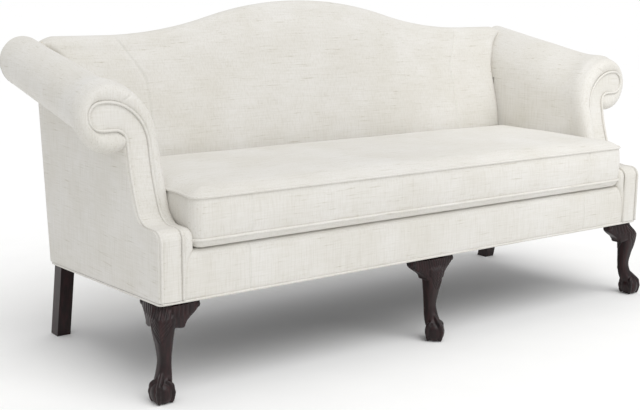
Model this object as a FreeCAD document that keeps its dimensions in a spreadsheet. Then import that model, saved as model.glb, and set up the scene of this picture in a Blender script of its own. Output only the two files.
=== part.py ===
# Camelback sofa with rolled arms, one loose seat cushion and ball-and-claw front legs.
#
# Frame: +X to the sitter's left as seen from the front (the viewer's right), +Y to the back, +Z up.
# The origin is on the floor, under the middle of the sofa's bounding box. Sizes are in millimetres.
# A "depth" is measured backwards from the front face of the base, and a "forward" distance is
# measured at right angles from the raked outside back towards the sitter.

import FreeCAD, Part
import Sketcher
import math
import os

from FreeCAD import Placement, Rotation, Vector

# Driving dimensions: name, millimetres or degrees, what it is.
SIZES = [
    ("base_width", 1800.0, "base across the two outside arm covers"),
    ("base_depth", 656.0, "base from the front cover to the back cover, at the front hem's height"),
    ("hem_height", 246.0, "floor to the hem of the front cover"),
    ("hem_drop", 27.0, "how much lower the hem is at the back, the seat's pitch"),
    ("deck_height", 378.0, "floor to the top of the deck under the cushion"),
    ("cover_thickness", 5.0, "outside covers with their batting"),
    ("welt_radius", 4.0, "radius of a covered cord"),
    ("rail_thickness", 45.0, "seat rails, posts and arm rails, across"),
    ("rail_drop", 20.0, "deck top down to the rail tops"),
    ("fit_gap", 0.3, "clearance between soft pieces that only lie on each other"),
    ("back_rake", 5.7, "lean of the back, degrees"),
    ("back_height", 966.0, "floor to the top of the hump"),
    ("wing_height", 868.0, "floor to the back's level top beside the arms"),
    ("hump_half_width", 700.0, "middle of the back to where the hump runs out"),
    ("back_frame_depth", 40.0, "depth of the back's posts and rails"),
    ("crest_padding", 16.0, "padding over the crest rail"),
    ("crest_rail_height", 75.0, "crest rail at its low ends"),
    ("back_foot", 118.0, "back from the outside cover to the padding, at the deck"),
    ("back_swell", 124.0, "the same at the fullest place"),
    ("back_shoulder", 85.0, "the same at the shoulder"),
    ("shoulder_drop", 160.0, "top of the back down to the shoulder"),
    ("chest_fill", 4.0, "fullness of the back above the shoulder"),
    ("brow_depth", 62.0, "depth of the rounded top of the back"),
    ("brow_drop", 34.0, "drop of the rounded top at its front"),
    ("upright_width", 55.0, "inner uprights of the back, across"),
    ("upright_spacing", 560.0, "between the middles of the two inner uprights"),
    ("tack_rail_height", 45.0, "tacking rails, top to bottom"),
    ("tack_rail_rise", 20.0, "deck up to the tacking rails"),
    ("arm_inside", 811.0, "middle of the sofa to the inside arm"),
    ("toe_height", 430.0, "floor to the top of the arm's toe"),
    ("toe_corner", 26.0, "rounding at the front of the toe"),
    ("toe_length", 62.0, "front face to where the arm sweeps up"),
    ("sweep_radius", 62.0, "tight part of the arm's sweep"),
    ("sweep_lean", 25.0, "lean of the arm's front after the tight part, degrees"),
    ("upper_radius", 585.0, "slow part of the arm's sweep"),
    ("upper_lean", 3.0, "lean of the arm's front at the scroll, degrees"),
    ("stump_depth", 60.0, "front arm post, front to back"),
    ("roll_middle", 933.0, "middle of the sofa to the middle of the arm roll"),
    ("roll_height", 692.0, "floor to the middle of the roll at the front"),
    ("roll_rise", 105.0, "how much higher the roll's middle is at the back"),
    ("roll_radius_front", 75.0, "roll at the scroll"),
    ("roll_radius_rear", 70.0, "roll at the back"),
    ("roll_start_front", 62.0, "middle of the roll down to where the inside arm starts to turn"),
    ("roll_start_rear", 107.0, "the same at the back"),
    ("facing_inside", 833.0, "middle of the sofa to the facing's inner edge"),
    ("facing_outside", 893.0, "middle of the sofa to the facing's outer edge"),
    ("head_middle", 957.0, "middle of the sofa to the middle of the facing's curl"),
    ("head_height", 698.0, "floor to the middle of the facing's curl"),
    ("head_radius", 35.0, "radius of the facing's curl"),
    ("head_drop", 78.0, "middle of the curl down to where the facing starts to turn"),
    ("throat_radius", 30.0, "hollow under the facing's curl"),
    ("board_inset", 5.0, "facing's edge to the edge of the board behind it"),
    ("arm_rail_height", 50.0, "arm top rail, top to bottom"),
    ("burlap_thickness", 1.5, "burlap and webbing"),
    ("cushion_front", 11.0, "how far the cushion stands before the base"),
    ("cushion_side_gap", 1.0, "cushion to inside arm"),
    ("cushion_back_gap", 2.0, "cushion to inside back"),
    ("lower_welt_height", 400.0, "floor to the cushion's lower welt"),
    ("upper_welt_height", 507.0, "floor to the cushion's upper welt"),
    ("crown_height", 538.0, "floor to the top of the cushion's crown"),
    ("boxing_draw", 3.0, "how far the boxing draws in at the welts"),
    ("cushion_corner", 34.0, "cushion's corners, seen from above"),
    ("cushion_cover_thickness", 3.0, "cushion cover and its wrap"),
    ("deck_pad_thickness", 12.0, "felt over the springs"),
    ("deck_cloth_thickness", 1.0, "decking cloth"),
    ("lip_depth", 60.0, "front border's return on the deck"),
    ("dust_cloth_thickness", 1.0, "cambric under the frame"),
    ("spring_count", 15.0, "zigzag springs"),
    ("spring_wire_radius", 2.0, "spring wire"),
    ("spring_bend_radius", 11.0, "bends of a zigzag spring"),
    ("spring_run", 26.0, "straight run between two bends"),
    ("clip_width", 12.0, "spring clip, across"),
    ("clip_depth", 14.0, "spring clip, front to back"),
    ("clip_height", 6.5, "spring clip, top to bottom"),
    ("stretcher_height", 50.0, "seat stretchers, top to bottom"),
    ("stretcher_drop", 23.0, "rail tops down to the stretchers"),
    ("stretcher_spacing", 600.0, "between the middles of the two stretchers"),
    ("block_leg", 70.0, "corner block along a rail"),
    ("block_height", 70.0, "corner block, top to bottom"),
    ("web_width", 60.0, "back webbing strap"),
    ("web_count", 8.0, "back webbing straps"),
    ("leg_block", 62.0, "square top of a front leg"),
    ("leg_block_depth", 14.0, "height of that square top"),
    ("leg_inset", 9.0, "cover's face to the leg's square top"),
    ("knee_height", 205.0, "floor to the fullest place of the knee"),
    ("knee_width", 57.0, "knee across"),
    ("knee_back", 20.0, "knee's middle behind the foot's"),
    ("shin_height", 165.0, "floor to the middle of the shin"),
    ("shin_width", 40.0, "shin across"),
    ("shin_back", 19.0, "shin's middle behind the foot's"),
    ("ankle_height", 108.0, "floor to the ankle"),
    ("ankle_width", 28.0, "ankle across"),
    ("ankle_back", 26.0, "ankle's middle behind the foot's"),
    ("instep_height", 74.0, "floor to the instep"),
    ("instep_width", 31.0, "instep across"),
    ("instep_back", 19.0, "instep's middle behind the foot's"),
    ("ball_radius", 33.0, "ball of the foot"),
    ("ball_height", 31.0, "floor to the ball's middle"),
    ("claw_radius", 7.5, "a claw at its knuckle"),
    ("corner_foot_inset", 7.0, "base's corner to the foot's middle, on the diagonal"),
    ("centre_foot_reach", 7.0, "how far the middle foot stands before the base"),
    ("ear_length", 44.0, "knee bracket along the rail"),
    ("ear_height", 56.0, "knee bracket, top to bottom"),
    ("ear_thickness", 30.0, "knee bracket, front to back"),
    ("rear_leg_width", 41.0, "rear leg across"),
    ("rear_leg_depth", 44.0, "rear leg, front to back"),
    ("rear_leg_inset", 12.0, "outside back cover to the rear leg's top"),
    ("rear_leg_reach", 47.0, "how far the rear foot stands behind the rear leg's top"),
    ("bolt_radius", 4.0, "leg bolts"),
    ("bolt_clearance", 0.2, "bolt to its bore"),
    ("bolt_in_leg", 50.0, "bolt's length in the leg"),
    ("bolt_in_rail", 60.0, "bolt's length in the frame"),
]

doc = FreeCAD.newDocument("camelback_sofa")
sheet = doc.addObject("Spreadsheet::Sheet", "Sizes")
for row, (alias, value, note) in enumerate(SIZES, start=1):
    sheet.set("A%d" % row, alias)
    sheet.set("B%d" % row, str(value))
    sheet.set("C%d" % row, note)
    sheet.setAlias("B%d" % row, alias)
doc.recompute()


def size(alias):
    """A driving dimension, read from the sheet."""
    return float(getattr(sheet, alias))


# Derived levels and planes
half_width = size("base_width") / 2
cover = size("cover_thickness")
rail = size("rail_thickness")
gap = size("fit_gap")
rail_top = size("deck_height") - size("rail_drop")
frame_outside = half_width - cover
frame_inside = frame_outside - rail
rake = math.radians(size("back_rake"))
back_frame_front = cover + size("back_frame_depth")
web_front = back_frame_front + size("burlap_thickness")
back_turn = Rotation(Vector(1, 0, 0), -size("back_rake"))
FAR = 3 * size("base_width")
LEFT, RIGHT = -1, 1
SIDES = ((LEFT, "left"), (RIGHT, "right"))


def hem_height_at(depth):
    """Height of the hem, which falls towards the back."""
    return size("hem_height") - size("hem_drop") * depth / size("base_depth")


def rail_bottom_at(depth):
    """Underside of the seat rails, which ends just above the welted hem."""
    return hem_height_at(depth) + 2 * size("welt_radius")


def back_plane_depth(height, forward=0.0):
    """Depth of the raked back plane at a height, or of a plane that far in front of it."""
    return size("base_depth") + (height - size("hem_height")) * math.tan(rake) - forward / math.cos(rake)


def in_back(x, forward, rise):
    """A point given across, forward of the outside back and up along it."""
    foot = Vector(0, size("base_depth"), size("hem_height"))
    return foot + back_turn.multVec(Vector(x, -forward, rise))


def rise_of(height):
    """How far up the raked back a height on its outside lies."""
    return (height - size("hem_height")) / math.cos(rake)


# Shape helpers
def line(start, end):
    return Part.LineSegment(start, end).toShape()


def arc(start, middle, end):
    return Part.Arc(start, middle, end).toShape()


def polygon(points):
    return Part.Wire([line(a, b) for a, b in zip(points, points[1:] + points[:1])])


def across(points, x_low, x_high):
    """A prism across the sofa, from (depth, height) points."""
    face = Part.Face(polygon([Vector(x_low, depth, height) for depth, height in points]))
    return face.extrude(Vector(x_high - x_low, 0, 0))


def block(x_range, y_range, z_range):
    """A box from its three ranges."""
    corner = Vector(x_range[0], y_range[0], z_range[0])
    return Part.makeBox(x_range[1] - x_range[0], y_range[1] - y_range[0], z_range[1] - z_range[0], corner)


def side_range(side, inner, outer):
    """An X range on the left or the right, from two distances to the middle."""
    return (inner, outer) if side == RIGHT else (-outer, -inner)


def mirrored(shape, side):
    """A shape made for the right side, moved to the side that is asked for."""
    return shape if side == RIGHT else shape.mirror(Vector(0, 0, 0), Vector(1, 0, 0))


def add(name, shape):
    """A sub-part whose shape is worked out here, in depths, and then placed in the frame."""
    feature = doc.addObject("Part::Feature", name)
    feature.Label = name
    feature.Shape = shape
    parts.append(feature)
    return feature


parts = []


# Bound prisms: a profile sketched in the side view and padded across the sofa
def number(expression):
    return float(sheet.evalExpression(expression))


def sketch_polygon(sketch, points):
    """Draw a closed outline and bind each corner to its pair of expressions."""
    corners = [Vector(number(first), number(second), 0) for first, second in points]
    for start, end in zip(corners, corners[1:] + corners[:1]):
        sketch.addGeometry(Part.LineSegment(start, end), False)
    count = len(points)
    for index in range(count):
        sketch.addConstraint(Sketcher.Constraint("Coincident", index, 2, (index + 1) % count, 1))
    for index, (first, second) in enumerate(points):
        for kind, expression in (("DistanceX", first), ("DistanceY", second)):
            constraint = Sketcher.Constraint(kind, -1, 1, index, 1, number(expression))
            place = sketch.addConstraint(constraint)
            sketch.setExpression("Constraints[%d]" % place, expression)


def origin_plane(body, role):
    return [plane for plane in body.Origin.OriginFeatures if plane.Role == role][0]


def add_prism(name, points, width, x_start):
    """A rail: an outline in the side view, padded across."""
    body = doc.addObject("PartDesign::Body", name)
    body.Label = name
    sketch = body.newObject("Sketcher::SketchObject", name + "_outline")
    sketch.AttachmentSupport = [(origin_plane(body, "YZ_Plane"), "")]
    sketch.MapMode = "FlatFace"
    sketch_polygon(sketch, points)
    pad = body.newObject("PartDesign::Pad", name + "_pad")
    pad.Profile = sketch
    pad.setExpression("Length", width)
    body.setExpression(".Placement.Base.x", x_start)
    parts.append(body)
    return body


def add_box(name, length, width, height, placement):
    """A plain board, bound to the sheet and placed in depths."""
    board = doc.addObject("Part::Box", name)
    board.Label = name
    board.setExpression("Length", length)
    board.setExpression("Width", width)
    board.setExpression("Height", height)
    board.Placement = placement
    parts.append(board)
    return board


# Seat frame: four rails, two stretchers and four corner blocks
def bottom_text(depth):
    """Expression for the underside of the rails at a depth."""
    fall = "Sizes.hem_drop * (%s) / Sizes.base_depth" % depth
    return "(Sizes.hem_height - %s + 2 * Sizes.welt_radius)" % fall


def back_text(height, forward):
    """Expression for the depth of a plane in front of the outside back."""
    lean = "((%s) - Sizes.hem_height) * tan(Sizes.back_rake)" % height
    return "(Sizes.base_depth + %s - (%s) / cos(Sizes.back_rake))" % (lean, forward)


def rear_text(forward):
    """Expression for the depth where such a plane meets the sloping underside of the rails."""
    level = "Sizes.base_depth + 2 * Sizes.welt_radius * tan(Sizes.back_rake)"
    slope = "1 + Sizes.hem_drop * tan(Sizes.back_rake) / Sizes.base_depth"
    return "((%s - (%s) / cos(Sizes.back_rake)) / (%s))" % (level, forward, slope)


RAIL_TOP = "(Sizes.deck_height - Sizes.rail_drop)"
FRAME_OUTSIDE = "(Sizes.base_width / 2 - Sizes.cover_thickness)"
FRAME_INSIDE = "(%s - Sizes.rail_thickness)" % FRAME_OUTSIDE
FRONT_INSIDE = "(Sizes.cover_thickness + Sizes.rail_thickness)"
BACK_INSIDE = "(Sizes.cover_thickness + Sizes.back_frame_depth)"
REAR_INSIDE = rear_text(BACK_INSIDE)
REAR_OUTSIDE = rear_text("Sizes.cover_thickness")

front_rail = add_prism(
    "front_rail",
    [
        ("Sizes.cover_thickness", bottom_text("Sizes.cover_thickness")),
        (FRONT_INSIDE, bottom_text(FRONT_INSIDE)),
        (FRONT_INSIDE, RAIL_TOP),
        ("Sizes.cover_thickness", RAIL_TOP),
    ],
    "2 * " + FRAME_OUTSIDE,
    "-" + FRAME_OUTSIDE,
)
bore_sketch = front_rail.newObject("Sketcher::SketchObject", "front_rail_bores")
bore_sketch.AttachmentSupport = [(origin_plane(front_rail, "XY_Plane"), "")]
bore_sketch.MapMode = "FlatFace"
BOLT_INSET = "(Sizes.leg_inset + Sizes.leg_block / 2)"
BOLT_ACROSS = "(Sizes.base_width / 2 - %s)" % BOLT_INSET
BORE_RADIUS = "(Sizes.bolt_radius + Sizes.bolt_clearance)"
BORE_PLACES = (
    "%s - %s" % (FRAME_OUTSIDE, BOLT_ACROSS),
    FRAME_OUTSIDE,
    "%s + %s" % (FRAME_OUTSIDE, BOLT_ACROSS),
)
for index, place in enumerate(BORE_PLACES):
    centre = Vector(number(place), number(BOLT_INSET), 0)
    bore_sketch.addGeometry(Part.Circle(centre, Vector(0, 0, 1), number(BORE_RADIUS)), False)
    for kind, expression in (("DistanceX", place), ("DistanceY", BOLT_INSET)):
        bound = bore_sketch.addConstraint(Sketcher.Constraint(kind, -1, 1, index, 3, number(expression)))
        bore_sketch.setExpression("Constraints[%d]" % bound, expression)
    bound = bore_sketch.addConstraint(Sketcher.Constraint("Radius", index, number(BORE_RADIUS)))
    bore_sketch.setExpression("Constraints[%d]" % bound, BORE_RADIUS)
bores = front_rail.newObject("PartDesign::Pocket", "front_rail_pocket")
bores.Profile = bore_sketch
bores.Reversed = True
bores.setExpression("Length", "%s + Sizes.bolt_in_rail" % bottom_text("Sizes.cover_thickness"))

add_prism(
    "back_rail",
    [
        (REAR_INSIDE, bottom_text(REAR_INSIDE)),
        (REAR_OUTSIDE, bottom_text(REAR_OUTSIDE)),
        (back_text(RAIL_TOP, "Sizes.cover_thickness"), RAIL_TOP),
        (back_text(RAIL_TOP, BACK_INSIDE), RAIL_TOP),
    ],
    "2 * " + FRAME_INSIDE,
    "-" + FRAME_INSIDE,
)

SIDE_OUTLINE = [
    (FRONT_INSIDE, bottom_text(FRONT_INSIDE)),
    (REAR_INSIDE, bottom_text(REAR_INSIDE)),
    (back_text(RAIL_TOP, BACK_INSIDE), RAIL_TOP),
    (FRONT_INSIDE, RAIL_TOP),
]
for side, word in SIDES:
    start = FRAME_INSIDE if side == RIGHT else "-" + FRAME_OUTSIDE
    add_prism("side_rail_" + word, SIDE_OUTLINE, "Sizes.rail_thickness", start)

STRETCHER_TOP = "(%s - Sizes.stretcher_drop)" % RAIL_TOP
STRETCHER_BOTTOM = "(%s - Sizes.stretcher_height)" % STRETCHER_TOP
STRETCHER_OUTLINE = [
    (FRONT_INSIDE, STRETCHER_BOTTOM),
    (back_text(STRETCHER_BOTTOM, BACK_INSIDE), STRETCHER_BOTTOM),
    (back_text(STRETCHER_TOP, BACK_INSIDE), STRETCHER_TOP),
    (FRONT_INSIDE, STRETCHER_TOP),
]
for side, word in SIDES:
    middle = "%d * Sizes.stretcher_spacing / 2" % side
    start = middle + " - Sizes.rail_thickness / 2"
    add_prism("seat_stretcher_" + word, STRETCHER_OUTLINE, "Sizes.rail_thickness", start)


def seat_region():
    """The room between the front rail and the back rail, right across the sofa."""
    front = cover + rail
    low, high = 0.0, size("back_height")
    return across(
        [
            (front, low),
            (back_plane_depth(low, back_frame_front), low),
            (back_plane_depth(high, back_frame_front), high),
            (front, high),
        ],
        -FAR,
        FAR,
    )


def corner_blocks():
    """Four glued triangles in the corners of the seat frame."""
    leg = size("block_leg")
    top = rail_top - size("stretcher_drop")
    bottom = top - size("block_height")
    solids = []
    for side, _ in SIDES:
        for depth, inward in ((cover + rail, 1), (back_plane_depth(bottom, back_frame_front), -1)):
            reach = depth + inward * leg
            slack = depth - inward * rail
            corners = [
                Vector(side * frame_inside, slack, bottom),
                Vector(side * (frame_inside - leg), slack, bottom),
                Vector(side * (frame_inside - leg), depth, bottom),
                Vector(side * frame_inside, reach, bottom),
            ]
            triangle = Part.Face(polygon(corners)).extrude(Vector(0, 0, top - bottom))
            solids += triangle.common(seat_region()).Solids
    return Part.makeCompound(solids)


add("corner_blocks", corner_blocks())


# Arm outline in the side view: toe, tight sweep, slow sweep and a nearly upright top
def arm_front(inset, top, bottom, shift=0.0):
    """Edges of the arm's front from bottom to top, moved in by an inset or back by a shift."""
    toe = size("toe_height")
    corner = size("toe_corner")
    sweep = size("sweep_radius")
    slow = size("upper_radius")
    lean = math.radians(size("sweep_lean"))
    upright = math.radians(size("upper_lean"))

    def at(depth, height):
        return Vector(0, depth + shift, height)

    def on(centre, radius, angle):
        return at(centre[0] + radius * math.cos(angle), centre[1] + radius * math.sin(angle))

    toe_centre = (corner, toe - corner)
    toe_radius = corner - inset
    sweep_centre = (size("toe_length"), toe + sweep)
    slow_centre = (
        sweep_centre[0] + (sweep - slow) * math.cos(lean),
        sweep_centre[1] - (sweep - slow) * math.sin(lean),
    )
    sweep_radius = sweep + inset
    slow_radius = slow + inset
    start = at(inset, bottom)
    toe_low = on(toe_centre, toe_radius, math.pi)
    toe_high = on(toe_centre, toe_radius, math.pi / 2)
    sweep_low = on(sweep_centre, sweep_radius, -math.pi / 2)
    sweep_high = on(sweep_centre, sweep_radius, -lean)
    slow_high = on(slow_centre, slow_radius, -upright)
    end_height = max(top, slow_high.z + 1)
    end = slow_high + Vector(0, math.tan(upright), 1) * (end_height - slow_high.z)
    edges = [
        line(start, toe_low),
        arc(toe_low, on(toe_centre, toe_radius, 0.75 * math.pi), toe_high),
        line(toe_high, sweep_low),
        arc(sweep_low, on(sweep_centre, sweep_radius, -(math.pi / 2 + lean) / 2), sweep_high),
        arc(sweep_high, on(slow_centre, slow_radius, -(lean + upright) / 2), slow_high),
        line(slow_high, end),
    ]
    return edges, start, end


def arm_region(inset, rear_forward, bottom, x_low, x_high, shift=0.0):
    """Everything behind the arm's front and before the back plane, from a height up."""
    edges, start, end = arm_front(inset, size("back_height"), bottom, shift)
    rear_top = Vector(0, back_plane_depth(end.z, rear_forward), end.z)
    rear_low = Vector(0, back_plane_depth(bottom, rear_forward), bottom)
    edges += [line(end, rear_top), line(rear_top, rear_low), line(rear_low, start)]
    face = Part.Face(Part.Wire(edges))
    face.translate(Vector(x_low, 0, 0))
    return face.extrude(Vector(x_high - x_low, 0, 0))


def facing_board(edge_inset, near, far, bottom):
    """A board that follows the arm's front, cut to the facing's outline less an inset."""
    inner = size("facing_inside") + edge_inset
    outer = size("facing_outside") - edge_inset
    curl = size("head_radius") - edge_inset
    middle = Vector(size("head_middle"), 0, size("head_height"))
    turn_height = middle.z - size("head_drop")
    run = middle.x - inner
    turn = (run ** 2 + size("head_drop") ** 2 - curl ** 2) / (2 * (run - curl))
    turn_centre = Vector(inner + turn, 0, turn_height)
    meet_angle = math.atan2(size("head_drop"), middle.x - turn_centre.x)
    throat = size("throat_radius") + edge_inset
    throat_centre = Vector(outer + throat, 0, middle.z - curl - throat)

    def on(centre, radius, angle):
        return centre + Vector(math.cos(angle), 0, math.sin(angle)) * radius

    meet = on(middle, curl, meet_angle)
    nose = on(middle, curl, 0)
    chin = on(middle, curl, -math.pi / 2)
    edges = [
        line(Vector(inner, 0, bottom), Vector(inner, 0, turn_height)),
        arc(Vector(inner, 0, turn_height), on(turn_centre, turn, (math.pi + meet_angle) / 2), meet),
        arc(meet, on(middle, curl, meet_angle / 2), nose),
        arc(nose, on(middle, curl, -math.pi / 4), chin),
        line(chin, on(throat_centre, throat, math.pi / 2)),
        arc(
            on(throat_centre, throat, math.pi / 2),
            on(throat_centre, throat, 0.75 * math.pi),
            on(throat_centre, throat, math.pi),
        ),
        line(on(throat_centre, throat, math.pi), Vector(outer, 0, bottom)),
        line(Vector(outer, 0, bottom), Vector(inner, 0, bottom)),
    ]
    outline = Part.Face(Part.Wire(edges)).extrude(Vector(0, size("base_depth"), 0))
    return outline.common(near).cut(far)


# Arm roll: a tapering round that rises to the back
def roll_at(depth):
    """Centre height, radius and start of the turn of the roll at a depth."""
    front = arm_front(0, size("roll_height"), 0)[2].y
    rear = back_plane_depth(size("roll_height") + size("roll_rise"), cover)
    share = (depth - front) / (rear - front)
    height = size("roll_height") + share * size("roll_rise")
    radius = size("roll_radius_front") + share * (size("roll_radius_rear") - size("roll_radius_front"))
    start = size("roll_start_front") + share * (size("roll_start_rear") - size("roll_start_front"))
    return height, radius, start


def roll_section(depth):
    """Outline of the inside arm and its roll at a depth, closed along the arm frame."""
    height, radius, drop = roll_at(depth)
    middle = Vector(size("roll_middle"), depth, height)
    inner = size("arm_inside")
    run = middle.x - inner
    turn = (run ** 2 + drop ** 2 - radius ** 2) / (2 * (run - radius))
    turn_centre = Vector(inner + turn, depth, height - drop)
    meet_angle = math.atan2(drop, middle.x - turn_centre.x)
    under_angle = -math.acos((size("facing_outside") - middle.x) / radius)

    def on(centre, length, angle):
        return centre + Vector(math.cos(angle), 0, math.sin(angle)) * length

    foot = Vector(inner, depth, size("deck_height"))
    start = Vector(inner, depth, height - drop)
    meet = on(middle, radius, meet_angle)
    nose = on(middle, radius, 0)
    chin = on(middle, radius, -math.pi / 2)
    under = on(middle, radius, under_angle)
    skirt = Vector(frame_inside - size("burlap_thickness"), depth, under.z)
    skirt_foot = Vector(skirt.x, depth, foot.z)
    return Part.Wire([
        line(foot, start),
        arc(start, on(turn_centre, turn, (math.pi + meet_angle) / 2), meet),
        arc(meet, on(middle, radius, meet_angle / 2), nose),
        arc(nose, on(middle, radius, -math.pi / 4), chin),
        arc(chin, on(middle, radius, (under_angle - math.pi / 2) / 2), under),
        line(under, skirt),
        line(skirt, skirt_foot),
        line(skirt_foot, foot),
    ])


# Arm frame on one side: post with its scroll board, scroll block, top rail, tack rail and burlap
def arm_pieces():
    """The right arm's wooden and burlap pieces, by name."""
    deep = size("stump_depth")
    near = arm_region(cover, cover, rail_top, 0, FAR)
    far = arm_region(cover, 0, 0, -FAR, FAR, shift=deep)
    board = facing_board(size("board_inset"), near, far, rail_top)
    block_start = size("facing_outside") - size("board_inset")
    outboard = block((block_start, FAR), (-FAR, FAR), (0, FAR))
    behind_stump = arm_region(cover, back_frame_front, rail_top, -FAR, FAR, shift=deep)
    front, rear = 0.0, size("base_depth") + size("back_frame_depth") * 2
    half = size("arm_rail_height") / 2
    low = roll_at(front)[0] - half
    high = roll_at(rear)[0] - half
    slope = [(front, low - half), (rear, high - half), (rear, high + half), (front, low + half)]
    top_rail = across(slope, frame_inside, size("facing_outside")).common(behind_stump)
    tack_low = size("deck_height") + size("tack_rail_rise")
    tack_box = block(
        (frame_inside, frame_outside),
        (0, FAR),
        (tack_low, tack_low + size("tack_rail_height")),
    )
    tack_rail = tack_box.common(behind_stump)
    burlap_low = tack_low + size("tack_rail_height") / 2
    burlap_outline = [
        (front, burlap_low),
        (rear, burlap_low),
        (rear, high),
        (front, low),
    ]
    burlap_inside = frame_inside - size("burlap_thickness")
    burlap = across(burlap_outline, burlap_inside, frame_inside).common(behind_stump)
    return {
        "arm_stump": board.cut(outboard),
        "scroll_block": board.common(outboard),
        "arm_top_rail": top_rail,
        "arm_tack_rail": tack_rail,
        "arm_burlap": burlap,
    }


# Back frame: posts, crest rail sawn to the hump, tack rail and two uprights
def crest_outline(drop, half_length, foot):
    """Outline of the back below its camel line less a drop, upright in its own plane."""
    reach = size("hump_half_width")
    wing = camel_rise(reach) - drop

    def top_point(x):
        return Vector(x, 0, camel_rise(abs(x)) - drop)

    edges = [
        line(Vector(-half_length, 0, foot), Vector(-half_length, 0, wing)),
        line(Vector(-half_length, 0, wing), top_point(-reach)),
        arc(top_point(-reach), top_point(-0.75 * reach), top_point(-reach / 2)),
        arc(top_point(-reach / 2), top_point(0), top_point(reach / 2)),
        arc(top_point(reach / 2), top_point(0.75 * reach), top_point(reach)),
        line(top_point(reach), Vector(half_length, 0, wing)),
        line(Vector(half_length, 0, wing), Vector(half_length, 0, foot)),
        line(Vector(half_length, 0, foot), Vector(-half_length, 0, foot)),
    ]
    return Part.Face(Part.Wire(edges))


def camel_rise(x):
    """Camel line up the raked back, at the crown: two arcs that meet halfway down the hump."""
    reach = size("hump_half_width")
    crown_lift = size("brow_depth") / 2 * math.tan(rake)
    peak = rise_of(size("back_height")) - crown_lift
    wing = rise_of(size("wing_height")) - crown_lift
    hump = peak - wing
    radius = ((reach / 2) ** 2 + (hump / 2) ** 2) / hump
    if x >= reach:
        return wing
    if x > reach / 2:
        return wing + radius - math.sqrt(radius ** 2 - (reach - x) ** 2)
    return peak - radius + math.sqrt(radius ** 2 - x ** 2)


def lean_back(shape):
    """Turn a shape made upright on the back plane, with Y = minus forward, into its place."""
    lean = Placement(in_back(0, 0, 0), back_turn)
    shape.Placement = lean.multiply(shape.Placement)
    return shape


def back_slab(drop, half_length, foot, near, far):
    """The camel outline as a slab between two forward distances, leaned back."""
    slab = crest_outline(drop, half_length, foot).extrude(Vector(0, near - far, 0))
    slab.translate(Vector(0, -near, 0))
    return lean_back(slab)


crest_low = camel_rise(size("hump_half_width")) - size("crest_padding") - size("crest_rail_height")
crest_rail = back_slab(size("crest_padding"), frame_inside, crest_low, cover, back_frame_front)
add("crest_rail", crest_rail)


def under_frame():
    """The room under the sloping undersides of the rails, where the legs stand."""
    front, rear = -size("base_depth"), 2 * size("base_depth")
    return across(
        [(front, -1), (rear, -1), (rear, rail_bottom_at(rear)), (front, rail_bottom_at(front))],
        -FAR,
        FAR,
    )


def bore(x, depth, low, high):
    """The clearance hole of a leg bolt."""
    radius = size("bolt_radius") + size("bolt_clearance")
    return Part.makeCylinder(radius, high - low, Vector(x, depth, low))


# Where the legs' bolts stand: x, depth and the height of the joint
front_bolt_inset = size("leg_inset") + size("leg_block") / 2
rear_leg_outside = half_width - size("leg_inset")
rear_leg_back = back_plane_depth(rail_bottom_at(size("base_depth")), size("rear_leg_inset"))
rear_bolt = (rear_leg_outside - size("rear_leg_width") / 2, rear_leg_back - size("rear_leg_depth") / 2)
FRONT_BOLTS = [(x, front_bolt_inset) for x in (front_bolt_inset - half_width, 0, half_width - front_bolt_inset)]
REAR_BOLTS = [(side * rear_bolt[0], rear_bolt[1]) for side, _ in SIDES]

posts = {}
for side, word in SIDES:
    post = back_slab(size("crest_padding"), frame_outside, -FAR, cover, back_frame_front)
    room = block(side_range(side, frame_inside, frame_outside), (-FAR, FAR), (0, FAR))
    post = post.common(room).cut(under_frame())
    x, depth = side * rear_bolt[0], rear_bolt[1]
    joint = rail_bottom_at(depth)
    post = post.cut(bore(x, depth, joint - 2 * cover, joint + size("bolt_in_rail")))
    posts[side] = post
    add("back_post_" + word, post)

tack_low_rise = rise_of(size("deck_height") + size("tack_rail_rise"))
tack_high_rise = tack_low_rise + size("tack_rail_height")
add_box(
    "back_tack_rail",
    "2 * " + FRAME_INSIDE,
    "Sizes.back_frame_depth",
    "Sizes.tack_rail_height",
    Placement(in_back(-frame_inside, back_frame_front, tack_low_rise), back_turn),
)
UPRIGHT_LENGTH = (
    "((Sizes.wing_height - Sizes.deck_height - Sizes.tack_rail_rise) / cos(Sizes.back_rake)"
    " - Sizes.brow_depth / 2 * tan(Sizes.back_rake)"
    " - Sizes.crest_padding - Sizes.crest_rail_height - Sizes.tack_rail_height)"
)
for side, word in SIDES:
    x = side * size("upright_spacing") / 2 - size("upright_width") / 2
    add_box(
        "back_upright_" + word,
        "Sizes.upright_width",
        "Sizes.back_frame_depth",
        UPRIGHT_LENGTH,
        Placement(in_back(x, back_frame_front, tack_high_rise), back_turn),
    )


def back_webbing():
    """Upright straps from the tack rail to the crest rail, on the front of the frame."""
    count = int(round(size("web_count")))
    low = (tack_low_rise + tack_high_rise) / 2
    high = crest_low + size("crest_rail_height") / 2
    pitch = 2 * frame_inside / count
    straps = []
    for index in range(count):
        x = -frame_inside + pitch * (index + 0.5) - size("web_width") / 2
        strap = Part.makeBox(size("web_width"), size("burlap_thickness"), high - low)
        strap.Placement = Placement(in_back(x, web_front, low), back_turn)
        straps.append(strap)
    return Part.makeCompound(straps)


add("back_webbing", back_webbing())


# Seat suspension: zigzag springs in clips on the front and back rails
spring_front = cover + rail / 2
spring_rear = back_plane_depth(rail_top, cover + size("back_frame_depth") / 2)


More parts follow.
